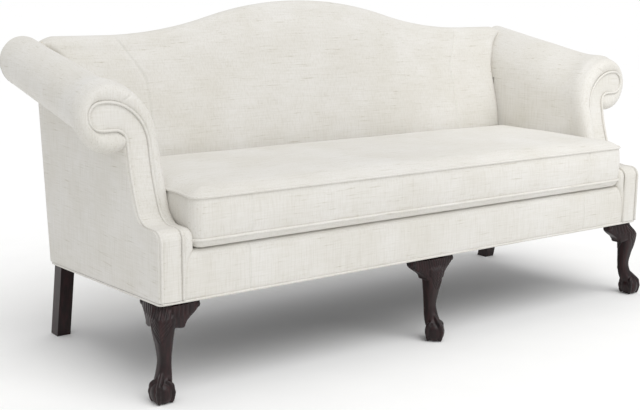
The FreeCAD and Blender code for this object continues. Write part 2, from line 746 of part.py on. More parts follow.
def zigzag_spring():
    """One spring lying flat: straight runs across, joined by half turns, one unbroken wire."""
    half_run = size("spring_run") / 2
    steps = int((spring_rear - spring_front) / (2 * size("spring_bend_radius")))
    pitch = (spring_rear - spring_front) / steps
    radius = pitch / 2
    height = rail_top + size("spring_wire_radius")
    edges = []
    for step in range(steps):
        side = 1 if step % 2 == 0 else -1
        y = spring_front + step * pitch
        start = Vector(-side * half_run, y, height)
        turn = Vector(side * half_run, y, height)
        bulge = Vector(side * (half_run + radius), y + radius, height)
        after = Vector(side * half_run, y + pitch, height)
        edges += [line(start, turn), arc(turn, bulge, after)]
    last_run = [Vector(side * half_run, spring_rear, height) for side in (-1, 1)]
    if steps % 2 == 1:
        last_run.reverse()
    edges.append(line(*last_run))
    first = Vector(-half_run, spring_front, height)
    ring = Part.Wire(Part.makeCircle(size("spring_wire_radius"), first, Vector(1, 0, 0)))
    least = pitch - 2 * size("spring_wire_radius")
    print("zigzag spring: least gap between two runs %.1f mm" % least)
    return Part.Wire(edges).makePipeShell([ring], True, False)


def spring_places():
    count = int(round(size("spring_count")))
    pitch = 2 * frame_inside / count
    return [-frame_inside + pitch * (index + 0.5) for index in range(count)]


def spring_clips():
    """A clip over each end of each spring, with a channel for the wire."""
    width = size("clip_width")
    half_depth = size("clip_depth") / 2
    wire_height = rail_top + size("spring_wire_radius")
    channel = size("spring_wire_radius") + size("bolt_clearance")
    clips = []
    for x in spring_places():
        for y in (spring_front, spring_rear):
            x_range = (x - width / 2, x + width / 2)
            body = block(x_range, (y - half_depth, y + half_depth), (rail_top, rail_top + size("clip_height")))
            start = Vector(x - width, y, wire_height)
            round_part = Part.makeCylinder(channel, 2 * width, start, Vector(1, 0, 0))
            mouth = block((x - width, x + width), (y - channel, y + channel), (0, wire_height))
            clips.append(body.cut(round_part.fuse(mouth)))
    return Part.makeCompound(clips)


one_spring = zigzag_spring()
springs = []
for x in spring_places():
    spring = one_spring.copy()
    spring.translate(Vector(x, 0, 0))
    springs.append(spring)
add("seat_springs", Part.makeCompound(springs))
add("spring_clips", spring_clips())

# Deck: felt over the springs and the decking cloth on it
deck_top = size("deck_height")
cloth = size("deck_cloth_thickness")
pad_low = deck_top - cloth - size("deck_pad_thickness")
DECK_DEPTH = "Sizes.base_depth - Sizes.rail_thickness - Sizes.lip_depth"
for name, height_text, low in (
    ("deck_pad", "Sizes.deck_pad_thickness", pad_low),
    ("deck_cloth", "Sizes.deck_cloth_thickness", deck_top - cloth),
):
    corner = Vector(-size("facing_inside"), size("lip_depth"), low)
    add_box(name, "2 * Sizes.facing_inside", DECK_DEPTH, height_text, Placement(corner, Rotation()))


# Inside back: camel-shaped padding and cover, lofted through upright sections
SWELL_LEVEL = 0.45  # height of the fullest place, as a share from the foot to the shoulder


def back_section(x, foot):
    """Section of the padded back: foot, swell, shoulder and rounded top."""
    top = camel_rise(abs(x))
    shoulder = top - size("shoulder_drop")
    brow = top - size("brow_drop")
    fill = size("chest_fill")
    chest_depth = (size("back_shoulder") + size("brow_depth")) / 2 + fill
    corners = {
        "rear_foot": Vector(x, -cover, foot),
        "front_foot": Vector(x, -size("back_foot"), foot),
        "swell": Vector(x, -size("back_swell"), foot + SWELL_LEVEL * (shoulder - foot)),
        "shoulder": Vector(x, -size("back_shoulder"), shoulder),
        "chest": Vector(x, -chest_depth, (shoulder + brow) / 2 + fill),
        "brow": Vector(x, -size("brow_depth"), brow),
        "crown": Vector(x, -size("brow_depth") / 2, top),
        "rear_top": Vector(x, -cover, top - size("crest_padding") / 2),
    }
    return Part.Wire([
        line(corners["rear_foot"], corners["front_foot"]),
        arc(corners["front_foot"], corners["swell"], corners["shoulder"]),
        arc(corners["shoulder"], corners["chest"], corners["brow"]),
        arc(corners["brow"], corners["crown"], corners["rear_top"]),
        line(corners["rear_top"], corners["rear_foot"]),
    ])


roll_top_middle = size("roll_height") + size("roll_rise")


def inside_back():
    """Padding of the back, in front of and over its frame, down to the deck."""
    foot = rise_of(deck_top) - cover
    reach = size("hump_half_width")
    stations = [-frame_outside, -reach, -0.75 * reach, -0.5 * reach, -0.25 * reach, 0]
    stations += [-x for x in reversed(stations[:-1])]
    pad = lean_back(Part.makeLoft([back_section(x, foot) for x in stations], True, False))
    frame = back_slab(size("crest_padding"), FAR, -FAR, -cover, web_front)
    deck = block((-FAR, FAR), (-FAR, FAR), (-FAR, deck_top))
    pad = pad.cut(frame).cut(deck)
    for side, _ in SIDES:
        x_range = side_range(side, frame_inside - size("burlap_thickness"), FAR)
        pad = pad.cut(block(x_range, (-FAR, FAR), (-FAR, roll_top_middle + gap)))
    return pad


back_pad = inside_back()
add("inside_back", back_pad)


# Inside arm and roll
def inside_arm(pieces):
    """Right inside arm with its roll, behind the facing and around the arm frame."""
    stations = [0.0, size("base_depth") + 4 * size("back_frame_depth")]
    roll = Part.makeLoft([roll_section(depth) for depth in stations], True, True)
    arm = roll.common(arm_region(cover, cover, deck_top, 0, FAR))
    back_frame = back_slab(size("crest_padding"), frame_outside, -FAR, -cover, web_front)
    crest_level = camel_rise(size("hump_half_width")) - size("crest_padding")
    over_posts = lean_back(block((0, frame_outside), (-FAR, FAR), (crest_level, FAR)))
    for piece in list(pieces.values()) + [back_pad, back_frame, over_posts]:
        arm = arm.cut(piece)
    return arm


right_arm = arm_pieces()
right_arm["inside_arm"] = inside_arm(right_arm)


# Outside covers: arm facings, outside arms, front border, outside back, dust cloth
def arm_facing():
    """The welted panel on the arm's front, hem to curl."""
    bottom = rail_bottom_at(0)
    near = arm_region(0, 0, bottom, 0, FAR)
    far = arm_region(cover, 0, -FAR, -FAR, FAR)
    return facing_board(0, near, far, bottom)


def outside_arm():
    """The flat outside arm, from the hem up to the roll."""
    plate = arm_region(0, cover, 0, frame_outside, half_width)
    front, rear = 0.0, size("base_depth") + 4 * size("back_frame_depth")
    tops = []
    for depth in (front, rear):
        height, radius, _ = roll_at(depth)
        drop = math.sqrt(radius ** 2 - (size("roll_middle") - half_width) ** 2)
        tops.append(height - drop - 2 * gap)
    room = across(
        [
            (front - cover, rail_bottom_at(front - cover)),
            (rear, rail_bottom_at(rear)),
            (rear, tops[1]),
            (front - cover, tops[0]),
        ],
        0,
        FAR,
    )
    return plate.common(room)


def outside_back():
    """The plain outside back, with the ends of the two rolls."""
    slab = crest_outline(size("crest_padding"), half_width, -size("hem_height")).extrude(Vector(0, -cover, 0))
    height, radius, _ = roll_at(back_plane_depth(roll_top_middle, cover))
    for side, _ in SIDES:
        middle = Vector(side * size("roll_middle"), 0, rise_of(height))
        slab = slab.fuse(Part.makeCylinder(radius - gap, cover, middle, Vector(0, -1, 0)))
    slab = lean_back(slab.removeSplitter())
    return slab.cut(under_frame())


def front_border():
    """Padded cover of the front rail, with its return onto the deck."""
    lip = size("lip_depth")
    outline = [
        (0, rail_bottom_at(0)),
        (cover, rail_bottom_at(cover)),
        (cover, pad_low),
        (lip, pad_low),
        (lip, deck_top),
        (0, deck_top),
    ]
    inner = size("facing_inside")
    return across(outline, -inner, inner)


right_arm["arm_facing"] = arm_facing()
right_arm["outside_arm"] = outside_arm()
for name, shape in right_arm.items():
    for side, word in SIDES:
        add("%s_%s" % (name, word), mirrored(shape, side))
add("outside_back", outside_back())
add("front_border", front_border())


def base_welt():
    """Covered cord right round the hem."""
    radius = size("welt_radius")
    front = radius
    rear = back_plane_depth(hem_height_at(size("base_depth")), radius)
    corners = [
        Vector(side * (half_width - radius), depth, hem_height_at(depth) + radius)
        for side, depth in ((LEFT, front), (RIGHT, front), (RIGHT, rear), (LEFT, rear))
    ]
    welt = None
    for start, end in zip(corners, corners[1:] + corners[:1]):
        run = Part.makeCylinder(radius, (end - start).Length, start, end - start)
        knob = Part.makeSphere(radius, start)
        welt = run.fuse(knob) if welt is None else welt.fuse(run).fuse(knob)
    return welt


add("base_welt", base_welt())


# Loose seat cushion: a cover with crowned panels and drawn-in boxing, a foam core and two welts
cushion_front = -size("cushion_front")
cushion_rear = (
    back_plane_depth(size("lower_welt_height"), 0)
    - size("back_swell") / math.cos(rake)
    - size("cushion_back_gap")
)
cushion_half = size("arm_inside") - size("cushion_side_gap")
CROWN_STEPS = ((45.0, 0.55), (120.0, 0.86), (230.0, 1.0))  # in from the welt, share of the crown's rise
CORNER_SHRINK = 0.2  # how much a corner tightens for each millimetre inwards
LEAST_CORNER = 0.4  # share of its corner that a ring keeps at least


def cushion_ring(inset, height):
    """A rounded rectangle of the cushion, seen from above."""
    x = cushion_half - inset
    low, high = cushion_front + inset, cushion_rear - inset
    corner = size("cushion_corner")
    radius = max(corner - inset * CORNER_SHRINK, corner * LEAST_CORNER)
    middle_y = (low + high) / 2
    half_y = (high - low) / 2
    corners = []
    for sign_x, sign_y in ((1, -1), (1, 1), (-1, 1), (-1, -1)):
        centre = Vector(sign_x * (x - radius), middle_y + sign_y * (half_y - radius), height)
        turn = math.atan2(sign_y, sign_x)
        ends = [
            centre + Vector(math.cos(turn + bend), math.sin(turn + bend), 0) * radius
            for bend in (-math.pi / 4, 0, math.pi / 4)
        ]
        corners.append(ends)
    outline = []
    for ends, following in zip(corners, corners[1:] + corners[:1]):
        outline.append(arc(*ends))
        outline.append(line(ends[2], following[0]))
    return Part.Wire(outline)


def cushion_solid(inset):
    """The cushion's outer form, or the form inside its cover: boxing between two crowns."""
    lower = size("lower_welt_height")
    upper = size("upper_welt_height")
    bottom = deck_top + gap + inset
    top = size("crown_height") - inset
    draw = size("boxing_draw")

    def crown(start, end):
        rings = [cushion_ring(draw + inset, start)]
        for reach, share in CROWN_STEPS:
            rings.append(cushion_ring(draw + inset + reach, start + share * (end - start)))
        return Part.makeLoft(rings, True, False)

    middle = (lower + upper) / 2
    levels = ((draw, lower), (0, middle), (draw, upper))
    boxing = Part.makeLoft([cushion_ring(inset + tuck, height) for tuck, height in levels], True, False)
    return boxing.fuse(crown(upper, top)).fuse(crown(lower, bottom))


def cushion_welt(height):
    """The covered cord around the cushion at a seam."""
    radius = size("welt_radius")
    path = cushion_ring(size("boxing_draw") + radius, height)
    start = path.Edges[0].valueAt(path.Edges[0].FirstParameter)
    heading = path.Edges[0].tangentAt(path.Edges[0].FirstParameter)
    ring = Part.Wire(Part.makeCircle(radius, start, heading))
    return path.makePipeShell([ring], True, False)


welts = [cushion_welt(size("lower_welt_height")), cushion_welt(size("upper_welt_height"))]
cushion_case = cushion_solid(0).cut(cushion_solid(size("cushion_cover_thickness")))
cushion_core = cushion_solid(size("cushion_cover_thickness") + gap)
for welt in welts:
    cushion_case = cushion_case.cut(welt)
    cushion_core = cushion_core.cut(welt)
panels = sorted(cushion_case.Solids, key=lambda panel: panel.CenterOfMass.z)
for name, panel in zip(("cushion_bottom_panel", "cushion_boxing", "cushion_top_panel"), panels):
    add(name, panel)
add("cushion_core", cushion_core)
add("cushion_welt_lower", welts[0])
add("cushion_welt_upper", welts[1])


# Front legs: cabriole with a square top, a ball and four claws
LEG_CORNER = 0.36  # rounding of the leg's square section, as a share of its width
CLAW_JOINTS = ((72, 1.2), (35, 1.0), (0, 0.9), (-38, 0.6))  # degrees up the ball, share of the knuckle
CLAW_SINK = 0.25  # how deep a claw lies in the ball, as a share of its knuckle
BONE_SHARE = 0.8  # thickness of a claw between its joints
# A bracket's scrolled edge, as shares of its length and height
EAR_CURVE = ((1.0, 0.2), (0.62, 0.36), (0.4, 0.6), (0.24, 0.86), (0.0, 1.0))


def leg_section(centre, width, height):
    """A square with well rounded corners, seen from above."""
    half = width / 2
    radius = LEG_CORNER * width
    edges = []
    corners = []
    for sign_x, sign_y in ((1, -1), (1, 1), (-1, 1), (-1, -1)):
        middle = centre + Vector(sign_x * (half - radius), sign_y * (half - radius), 0)
        turn = math.atan2(sign_y, sign_x)
        corners.append([
            Vector(middle.x + radius * math.cos(turn + bend), middle.y + radius * math.sin(turn + bend), height)
            for bend in (-math.pi / 4, 0, math.pi / 4)
        ])
    for ends, following in zip(corners, corners[1:] + corners[:1]):
        edges.append(arc(*ends))
        edges.append(line(ends[2], following[0]))
    return Part.Wire(edges)


def claw(foot, heading):
    """One toe: three knuckles on the ball, joined by tapering bones."""
    ball = size("ball_radius")
    knuckle = size("claw_radius")
    middle = foot + Vector(0, 0, size("ball_height"))
    joints = []
    for climb, share in CLAW_JOINTS:
        angle = math.radians(climb)
        outwards = heading * math.cos(angle) + Vector(0, 0, math.sin(angle))
        joints.append((middle + outwards * (ball - knuckle * CLAW_SINK), knuckle * share))
    bones = [Part.makeSphere(radius, place) for place, radius in joints]
    for (start, thick), (end, thin) in zip(joints, joints[1:]):
        way = end - start
        bones.append(Part.makeCone(thick * BONE_SHARE, thin * BONE_SHARE, way.Length, start, way))
    return bones


def front_leg(foot, outwards, block_middle):
    """A cabriole leg that stands on a point and leans its knee outwards."""
    bottom = hem_height_at(0) - size("leg_block_depth")
    side = Vector(-outwards.y, outwards.x, 0)
    stations = [
        (bottom + 1, block_middle, size("leg_block")),
        (size("knee_height"), foot - outwards * size("knee_back"), size("knee_width")),
        (size("shin_height"), foot - outwards * size("shin_back"), size("shin_width")),
        (size("ankle_height"), foot - outwards * size("ankle_back"), size("ankle_width")),
        (size("instep_height"), foot - outwards * size("instep_back"), size("instep_width")),
        (size("ball_height"), foot, size("instep_width")),
    ]
    leg = Part.makeLoft([leg_section(place, width, height) for height, place, width in stations], True, False)
    reach = size("leg_block") / 2
    top = block(
        (block_middle.x - reach, block_middle.x + reach),
        (block_middle.y - reach, block_middle.y + reach),
        (bottom, size("hem_height") + size("leg_block")),
    )
    leg = leg.fuse(top)
    leg = leg.fuse(Part.makeSphere(size("ball_radius"), foot + Vector(0, 0, size("ball_height"))))
    for heading in (outwards, outwards * -1, side, side * -1):
        for bone in claw(foot, heading):
            leg = leg.fuse(bone)
    joint = rail_bottom_at(block_middle.y)
    leg = leg.common(under_frame().common(block((-FAR, FAR), (-FAR, FAR), (0, FAR))))
    return leg.cut(bore(block_middle.x, block_middle.y, joint - size("bolt_in_leg"), joint + cover))


def knee_bracket(start, along, thick_way):
    """A scrolled ear beside a leg's square top, given its inner top corner."""
    length, high, thick = size("ear_length"), size("ear_height"), size("ear_thickness")
    top = size("hem_height") + size("leg_block")
    level = hem_height_at(0)

    def at(reach, height):
        return start + along * reach + Vector(0, 0, height)

    curve = [at(reach * length, level - drop * high) for reach, drop in EAR_CURVE]
    edges = [
        line(curve[-1], at(0, top)),
        line(at(0, top), at(length, top)),
        line(at(length, top), curve[0]),
        arc(*curve[:3]),
        arc(*curve[2:]),
    ]
    face = Part.Face(Part.Wire(edges))
    return face.extrude(thick_way * thick).common(under_frame())


legs = {}
corner_inset = size("corner_foot_inset") / math.sqrt(2)
corner_foot_x = half_width - corner_inset
leg_layout = [
    ("left", -corner_foot_x, corner_inset, Vector(-1, -1, 0)),
    ("centre", 0.0, -size("centre_foot_reach"), Vector(0, -1, 0)),
    ("right", corner_foot_x, corner_inset, Vector(1, -1, 0)),
]
X_WAY, Y_WAY = Vector(1, 0, 0), Vector(0, 1, 0)
for (word, foot_x, foot_depth, outwards), (block_x, block_depth) in zip(leg_layout, FRONT_BOLTS):
    outwards.normalize()
    leg = front_leg(Vector(foot_x, foot_depth, 0), outwards, Vector(block_x, block_depth, 0))
    legs[word] = leg
    add("front_leg_" + word, leg)

half_block = size("leg_block") / 2
ear_depth = size("leg_inset")
brackets = {}
for word, (block_x, block_depth) in zip(("left", "centre", "right"), FRONT_BOLTS):
    side = {"left": LEFT, "centre": 0, "right": RIGHT}[word]
    ears = []
    for way in (LEFT, RIGHT):
        if way != side:
            ears.append(knee_bracket(Vector(block_x + way * half_block, ear_depth, 0), X_WAY * way, Y_WAY))
    if side:
        start = Vector(side * (half_width - ear_depth), block_depth + half_block, 0)
        ears.append(knee_bracket(start, Y_WAY, X_WAY * -side))
    brackets[word] = [ear.cut(legs[word]) for ear in ears]
    add("knee_brackets_" + word, Part.makeCompound(brackets[word]))


# Rear legs: square, raked back, under the posts
def rear_leg(side):
    """A square leg that leans back from the frame to the floor."""
    x_range = side_range(side, rear_leg_outside - size("rear_leg_width"), rear_leg_outside)
    top = size("hem_height") + size("leg_block")
    lean = size("rear_leg_reach") / rail_bottom_at(size("base_depth"))
    low_back = rear_leg_back + size("rear_leg_reach")
    top_back = low_back - lean * top
    outline = [
        (low_back - size("rear_leg_depth"), 0),
        (low_back, 0),
        (top_back, top),
        (top_back - size("rear_leg_depth"), top),
    ]
    leg = across(outline, *x_range).common(under_frame())
    x, depth = side * rear_bolt[0], rear_bolt[1]
    joint = rail_bottom_at(depth)
    return leg.cut(bore(x, depth, joint - size("bolt_in_leg"), joint + cover))


for side, word in SIDES:
    legs["rear_" + word] = rear_leg(side)
    add("rear_leg_" + word, legs["rear_" + word])


def leg_bolts():
    """One hanger bolt up through each leg's top into the frame."""
    bolts = []
    for x, depth in FRONT_BOLTS + REAR_BOLTS:
        joint = rail_bottom_at(depth)
        length = size("bolt_in_leg") + size("bolt_in_rail") - 2 * gap
        start = Vector(x, depth, joint - size("bolt_in_leg") + gap)
        bolts.append(Part.makeCylinder(size("bolt_radius"), length, start))
    return Part.makeCompound(bolts)


add("leg_bolts", leg_bolts())


def dust_cover():
    """Cambric under the frame, cut out around the legs and brackets."""
    thick = size("dust_cloth_thickness")
    front = 2 * size("welt_radius") + thick
    rear = back_plane_depth(rail_bottom_at(size("base_depth")), front)
    outline = [
        (front, rail_bottom_at(front) - gap - thick),
        (rear, rail_bottom_at(rear) - gap - thick),
        (rear, rail_bottom_at(rear) - gap),
        (front, rail_bottom_at(front) - gap),
    ]
    inner = half_width - front
    sheet_shape = across(outline, -inner, inner)
    for piece in list(legs.values()) + [ear for ears in brackets.values() for ear in ears]:
        sheet_shape = sheet_shape.cut(piece)
    return max(sheet_shape.Solids, key=lambda solid: solid.Volume)


add("dust_cover", dust_cover())

# Place every sub-part so that the origin is under the middle of the whole
doc.recompute()
boxes = [part.Shape.optimalBoundingBox(True, False) for part in parts]
middle_depth = (min(box.YMin for box in boxes) + max(box.YMax for box in boxes)) / 2
shift = Placement(Vector(0, -middle_depth, 0), Rotation())
for part in parts:
    part.Placement = shift.multiply(part.Placement)
doc.recompute()

for item in doc.Objects:
    if "Invalid" in item.State or "Error" in item.State:
        raise RuntimeError("%s failed: %s" % (item.Label, item.State))
for part in parts:
    if part.Shape.isNull() or not part.Shape.isValid():
        raise RuntimeError("%s has no sound shape" % part.Label)

os.makedirs("parts", exist_ok=True)
for part in parts:
    part.Shape.exportStep("parts/%s.step" % part.Label)
    box = part.Shape.BoundBox
    print("%-24s %2d solids  %10.1f cm3  z %.1f to %.1f" % (
        part.Label,
        len(part.Shape.Solids),
        part.Shape.Volume / 1000,
        box.ZMin,
        box.ZMax,
    ))
print("%d sub-parts" % len(parts))
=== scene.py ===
# The camelback sofa's looks: an upholstered hardwood frame, one loose cushion and carved mahogany legs.
# Sizes are in millimetres; a depth is measured backwards from the front border's front face.

from math import acos, atan2, copysign, cos, exp, hypot, pi, radians, sin, sqrt, tan

import bmesh
import bpy
from mathutils import Matrix, Vector, noise


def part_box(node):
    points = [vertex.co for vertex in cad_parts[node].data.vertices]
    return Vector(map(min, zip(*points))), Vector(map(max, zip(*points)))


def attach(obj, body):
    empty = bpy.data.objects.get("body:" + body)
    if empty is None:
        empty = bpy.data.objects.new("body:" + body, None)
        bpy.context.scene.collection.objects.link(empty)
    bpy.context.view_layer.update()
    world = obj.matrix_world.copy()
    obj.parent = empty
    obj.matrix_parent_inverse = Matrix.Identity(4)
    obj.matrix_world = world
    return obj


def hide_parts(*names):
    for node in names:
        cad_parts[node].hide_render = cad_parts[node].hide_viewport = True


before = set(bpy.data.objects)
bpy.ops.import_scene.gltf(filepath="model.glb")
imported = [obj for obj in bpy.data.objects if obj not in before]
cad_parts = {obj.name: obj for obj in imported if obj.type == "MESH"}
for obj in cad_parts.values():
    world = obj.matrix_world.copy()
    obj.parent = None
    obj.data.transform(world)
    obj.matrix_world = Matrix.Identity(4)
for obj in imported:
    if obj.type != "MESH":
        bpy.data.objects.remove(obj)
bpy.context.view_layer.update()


# Camera: level with the arms, front left of the sofa, where the photograph was taken.
# Its place was worked out from the straight rails, the welts and the feet.
front_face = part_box("front_border")[0][1]


def spot(x, depth, height):
    """A point of the sofa, from millimetres across, behind the front cover and up."""
    return Vector((x / 1000, depth / 1000 + front_face, height / 1000))


def add_object(name, data):
    """A new object for a mesh, lamp or camera, linked into the scene."""
    made = bpy.data.objects.new(name, data)
    bpy.context.scene.collection.objects.link(made)
    return made


photo_width, focal_pixels, film_width = 640, 1138.08, 36.0
camera_data = bpy.data.cameras.new("camera")
camera_data.sensor_width = film_width
camera_data.lens = focal_pixels * film_width / photo_width
camera = add_object("camera", camera_data)
yaw, pitch, roll = radians(36.53), radians(11.24), radians(0.61)
ahead = Vector((sin(yaw) * cos(pitch), cos(yaw) * cos(pitch), -sin(pitch)))
level_right = Vector((cos(yaw), -sin(yaw), 0))
level_up = level_right.cross(ahead)
right = level_right * cos(roll) + level_up * sin(roll)
up = level_up * cos(roll) - level_right * sin(roll)
turned = Matrix((right, up, -ahead)).transposed().to_4x4()
camera.matrix_world = Matrix.Translation(spot(-2176.5, -2374.7, 1035.2)) @ turned
bpy.context.scene.camera = camera


# Floor: a plain white studio floor. A matte paint with faint roller marks, so that it isn't dead flat.
def linear(code):
    """An sRGB hex colour as linear RGBA."""
    channels = [int(code[i:i + 2], 16) / 255 for i in (1, 3, 5)]
    return [c / 12.92 if c <= 0.04045 else ((c + 0.055) / 1.055) ** 2.4 for c in channels] + [1.0]


def add_node(tree, kind, inputs, stops=(), **settings):
    """A shader node with its values, links and settings, and a ramp's stops; a node links by its first output."""
    made = tree.nodes.new(kind)
    for name, value in settings.items():
        setattr(made, name, value)
    for name, value in inputs.items():
        if isinstance(value, bpy.types.Node):
            value = value.outputs[0]
        if isinstance(value, bpy.types.NodeSocket):
            tree.links.new(value, made.inputs[name])
        else:
            made.inputs[name].default_value = value
    if stops:
        band = made.color_ramp.elements
        while len(band) < len(stops):
            band.new(1.0)
        for element, (place, code) in zip(band, stops):
            element.position, element.color = place, linear(code)
    return made


def new_material(name):
    """A node material with only its object coordinates, which are in metres."""
    material = bpy.data.materials.new(name)
    material.use_nodes = True
    material.node_tree.nodes.clear()
    place = add_node(material.node_tree, "ShaderNodeTexCoord", {})
    return material, material.node_tree, place.outputs["Object"]


floor_paint, tree, place = new_material("matte_studio_paint")
marks = add_node(tree, "ShaderNodeTexNoise", {"Vector": place, "Scale": 6.0})
tone = add_node(tree, "ShaderNodeValToRGB", {"Fac": marks}, [(0.3, "#FBFBFA"), (0.7, "#FDFDFC")])
paint = add_node(tree, "ShaderNodeBsdfPrincipled", {"Base Color": tone, "Roughness": 0.9})
add_node(tree, "ShaderNodeOutputMaterial", {"Surface": paint})
floor_reach = 90.0
floor_corners = [(floor_reach * x, floor_reach * y, 0) for x, y in ((-1, -1), (1, -1), (1, 1), (-1, 1))]
floor_mesh = bpy.data.meshes.new("floor")
floor_mesh.from_pydata(floor_corners, [], [(0, 1, 2, 3)])
floor_mesh.materials.append(floor_paint)
floor = add_object("floor", floor_mesh)


# Studio light: a bright white room, a broad soft light from above in front and a weak box in front.
# A soft spot lifts the inside of the right arm, which the photograph shows as light as the front.
def hang_light(name, kind, strength, heading, origin=(0.0, 0.0, 0.0), **settings):
    """A lamp at a place in metres, shining along a heading."""
    lamp = bpy.data.lights.new(name, kind)
    lamp.energy = strength
    for setting, value in settings.items():
        setattr(lamp, setting, value)
    hung = add_object(name, lamp)
    hung.location = origin
    hung.rotation_euler = Vector(heading).to_track_quat("-Z", "Y").to_euler()


world = bpy.data.worlds.new("white_room")
world.use_nodes = True
room = world.node_tree.nodes["Background"].inputs
room["Color"].default_value = linear("#FBFBFC")
room["Strength"].default_value = 0.72
bpy.context.scene.world = world
bpy.context.scene.view_settings.view_transform = "Standard"
hang_light("roof_light", "SUN", 1.3, (-0.05, 0.5, -0.86), angle=radians(50.0))
hang_light("front_box", "AREA", 9.0, (-1.2, 3.4, -1.2), (1.6, -3.4, 1.6), size=1.6)
hang_light("arm_spot", "SPOT", 60.0, (1.76, 1.32, -0.88), (-0.9, -1.3, 1.5),
           shadow_soft_size=0.3, spot_size=radians(26.0), spot_blend=1.0)


# Frame: rails, posts, stretchers and blocks sawn from poplar and glued up.
# Sawn and left bare: pale yellow-green wood with a dull face and straight grain.
def sawn_poplar(name, grain):
    """Bare poplar whose grain runs along one axis; a grain line is about 3 mm wide."""
    material, tree, place = new_material(name)
    stretch = [330.0 if axis != grain else 9.0 for axis in "XYZ"]
    grain_map = add_node(tree, "ShaderNodeMapping", {"Vector": place, "Scale": stretch})
    lines = add_node(tree, "ShaderNodeTexNoise", {"Vector": grain_map, "Scale": 1.0, "Detail": 5.0})
    tone = add_node(tree, "ShaderNodeValToRGB", {"Fac": lines}, [(0.25, "#B2986A"), (0.5, "#CDB68A"), (0.8, "#DCC9A2")])
    bump = add_node(tree, "ShaderNodeBump", {"Height": lines, "Strength": 0.25, "Distance": 0.0004})
    wood = add_node(tree, "ShaderNodeBsdfPrincipled", {
        "Base Color": tone, "Roughness": 0.75, "Normal": bump,
    })
    add_node(tree, "ShaderNodeOutputMaterial", {"Surface": wood})
    return material


def finish_node(name, material):
    """Give a piece of the frame its material."""
    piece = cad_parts[name]
    for holder in piece.material_slots:
        holder.material = material


sides = ((1, "right"), (-1, "left"))
poplar = {axis: sawn_poplar("sawn_poplar_" + axis.lower(), axis) for axis in "XYZ"}
for name in ("front_rail", "back_rail", "crest_rail", "back_tack_rail", "corner_blocks"):
    finish_node(name, poplar["X"])
for _, word in sides:
    for name in ("side_rail_", "seat_stretcher_", "arm_top_rail_", "arm_tack_rail_"):
        finish_node(name + word, poplar["Y"])
    for name in ("back_post_", "back_upright_", "arm_stump_", "scroll_block_"):
        finish_node(name + word, poplar["Z"])


# Zigzag springs, their clips and the leg bolts: drawn steel wire and pressed steel.
# Drawn and oiled: a grey metal, dulled in patches about 6 mm across.
steel, tree, place = new_material("drawn_spring_steel")
dulling = add_node(tree, "ShaderNodeTexNoise", {"Vector": place, "Scale": 160.0, "Detail": 4.0})
tone = add_node(tree, "ShaderNodeValToRGB", {"Fac": dulling}, [(0.3, "#5E5F61"), (0.7, "#8B8C8E")])
rough = add_node(tree, "ShaderNodeMapRange", {"Value": dulling, "To Min": 0.3, "To Max": 0.5})
metal = add_node(tree, "ShaderNodeBsdfPrincipled", {
    "Base Color": tone, "Metallic": 1.0, "Roughness": rough,
})
add_node(tree, "ShaderNodeOutputMaterial", {"Surface": metal})
for name in ("seat_springs", "spring_clips", "leg_bolts"):
    finish_node(name, steel)


# Webbing and burlap: plain-woven jute, tacked to the rails to carry the padding.
# Coarse brown threads about 2 mm wide, drawn 3 mm wide to show, with a dry face.
def plain_weave(name, axes, density, waviness, stops, strength, depth, roughness):
    """Cloth of two crossing threads, each drawn 157 / density millimetres wide."""
    material, tree, place = new_material(name)
    warp, weft = [add_node(tree, "ShaderNodeTexWave", {"Vector": place, "Scale": density, "Distortion": waviness},
                           bands_direction=axis).outputs["Fac"] for axis in axes]
    weave = add_node(tree, "ShaderNodeMath", {0: warp, 1: weft}, operation="ADD")
    tone = add_node(tree, "ShaderNodeValToRGB", {"Fac": weave}, stops)
    bump = add_node(tree, "ShaderNodeBump", {"Height": weave, "Strength": strength, "Distance": depth})
    cloth = add_node(tree, "ShaderNodeBsdfPrincipled", {
        "Base Color": tone, "Roughness": roughness, "Normal": bump,
    })
    add_node(tree, "ShaderNodeOutputMaterial", {"Surface": cloth})
    return material


jute_browns = [(0.2, "#7A6038"), (0.6, "#A98B58"), (1.0, "#C7AC7A")]
jute = plain_weave("woven_jute", "XZ", 52.0, 1.2, jute_browns, 0.5, 0.0008, 0.9)
for name in ("back_webbing", "arm_burlap_left", "arm_burlap_right"):
    finish_node(name, jute)


# Deck: plain cotton decking cloth over a felt pad, seen only when the cushion is lifted.
# Tight, smooth and a shade darker than the cover; its threads, 0.5 mm wide, are drawn 4 mm wide to show.
def lay_cloth(name, rows, material, join_rows=False, join_ends=False, body="sofa", outwards=True):
    """A cover from rows of points, smooth shaded; rows may join up first to last, or end to end."""
    points = [point for row in rows for point in row]
    width = len(rows[0])
    faces = []
    for i in range(len(rows) if join_rows else len(rows) - 1):
        for j in range(width if join_ends else width - 1):
            k, n = (i + 1) % len(rows), (j + 1) % width
            faces.append((i * width + j, i * width + n, k * width + n, k * width + j))
    mesh = bpy.data.meshes.new(name)
    mesh.from_pydata(points, [], faces)
    mesh.polygons.foreach_set("use_smooth", [True] * len(faces))
    mesh.materials.append(material)
    mesh.validate()
    cloth = add_object(name, mesh)
    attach(cloth, body)
    if outwards:
        face_outwards(cloth)
    return cloth


def face_outwards(cloth):
    """Turn every face of a cover to its outer side."""
    bpy.context.view_layer.objects.active = cloth
    bpy.ops.object.select_all(action="DESELECT")
    cloth.select_set(True)
    bpy.ops.object.mode_set(mode="EDIT")
    bpy.ops.mesh.select_all(action="SELECT")
    bpy.ops.mesh.normals_make_consistent(inside=False)
    bpy.ops.object.mode_set(mode="OBJECT")


def steps(start, end, count):
    """Evenly spaced numbers, both ends included."""
    return [start + (end - start) * i / (count - 1) for i in range(count)]


def drift(x, y, z):
    """Smooth noise from -1 to 1 at a place."""
    return noise.noise(Vector((x, y, z)))


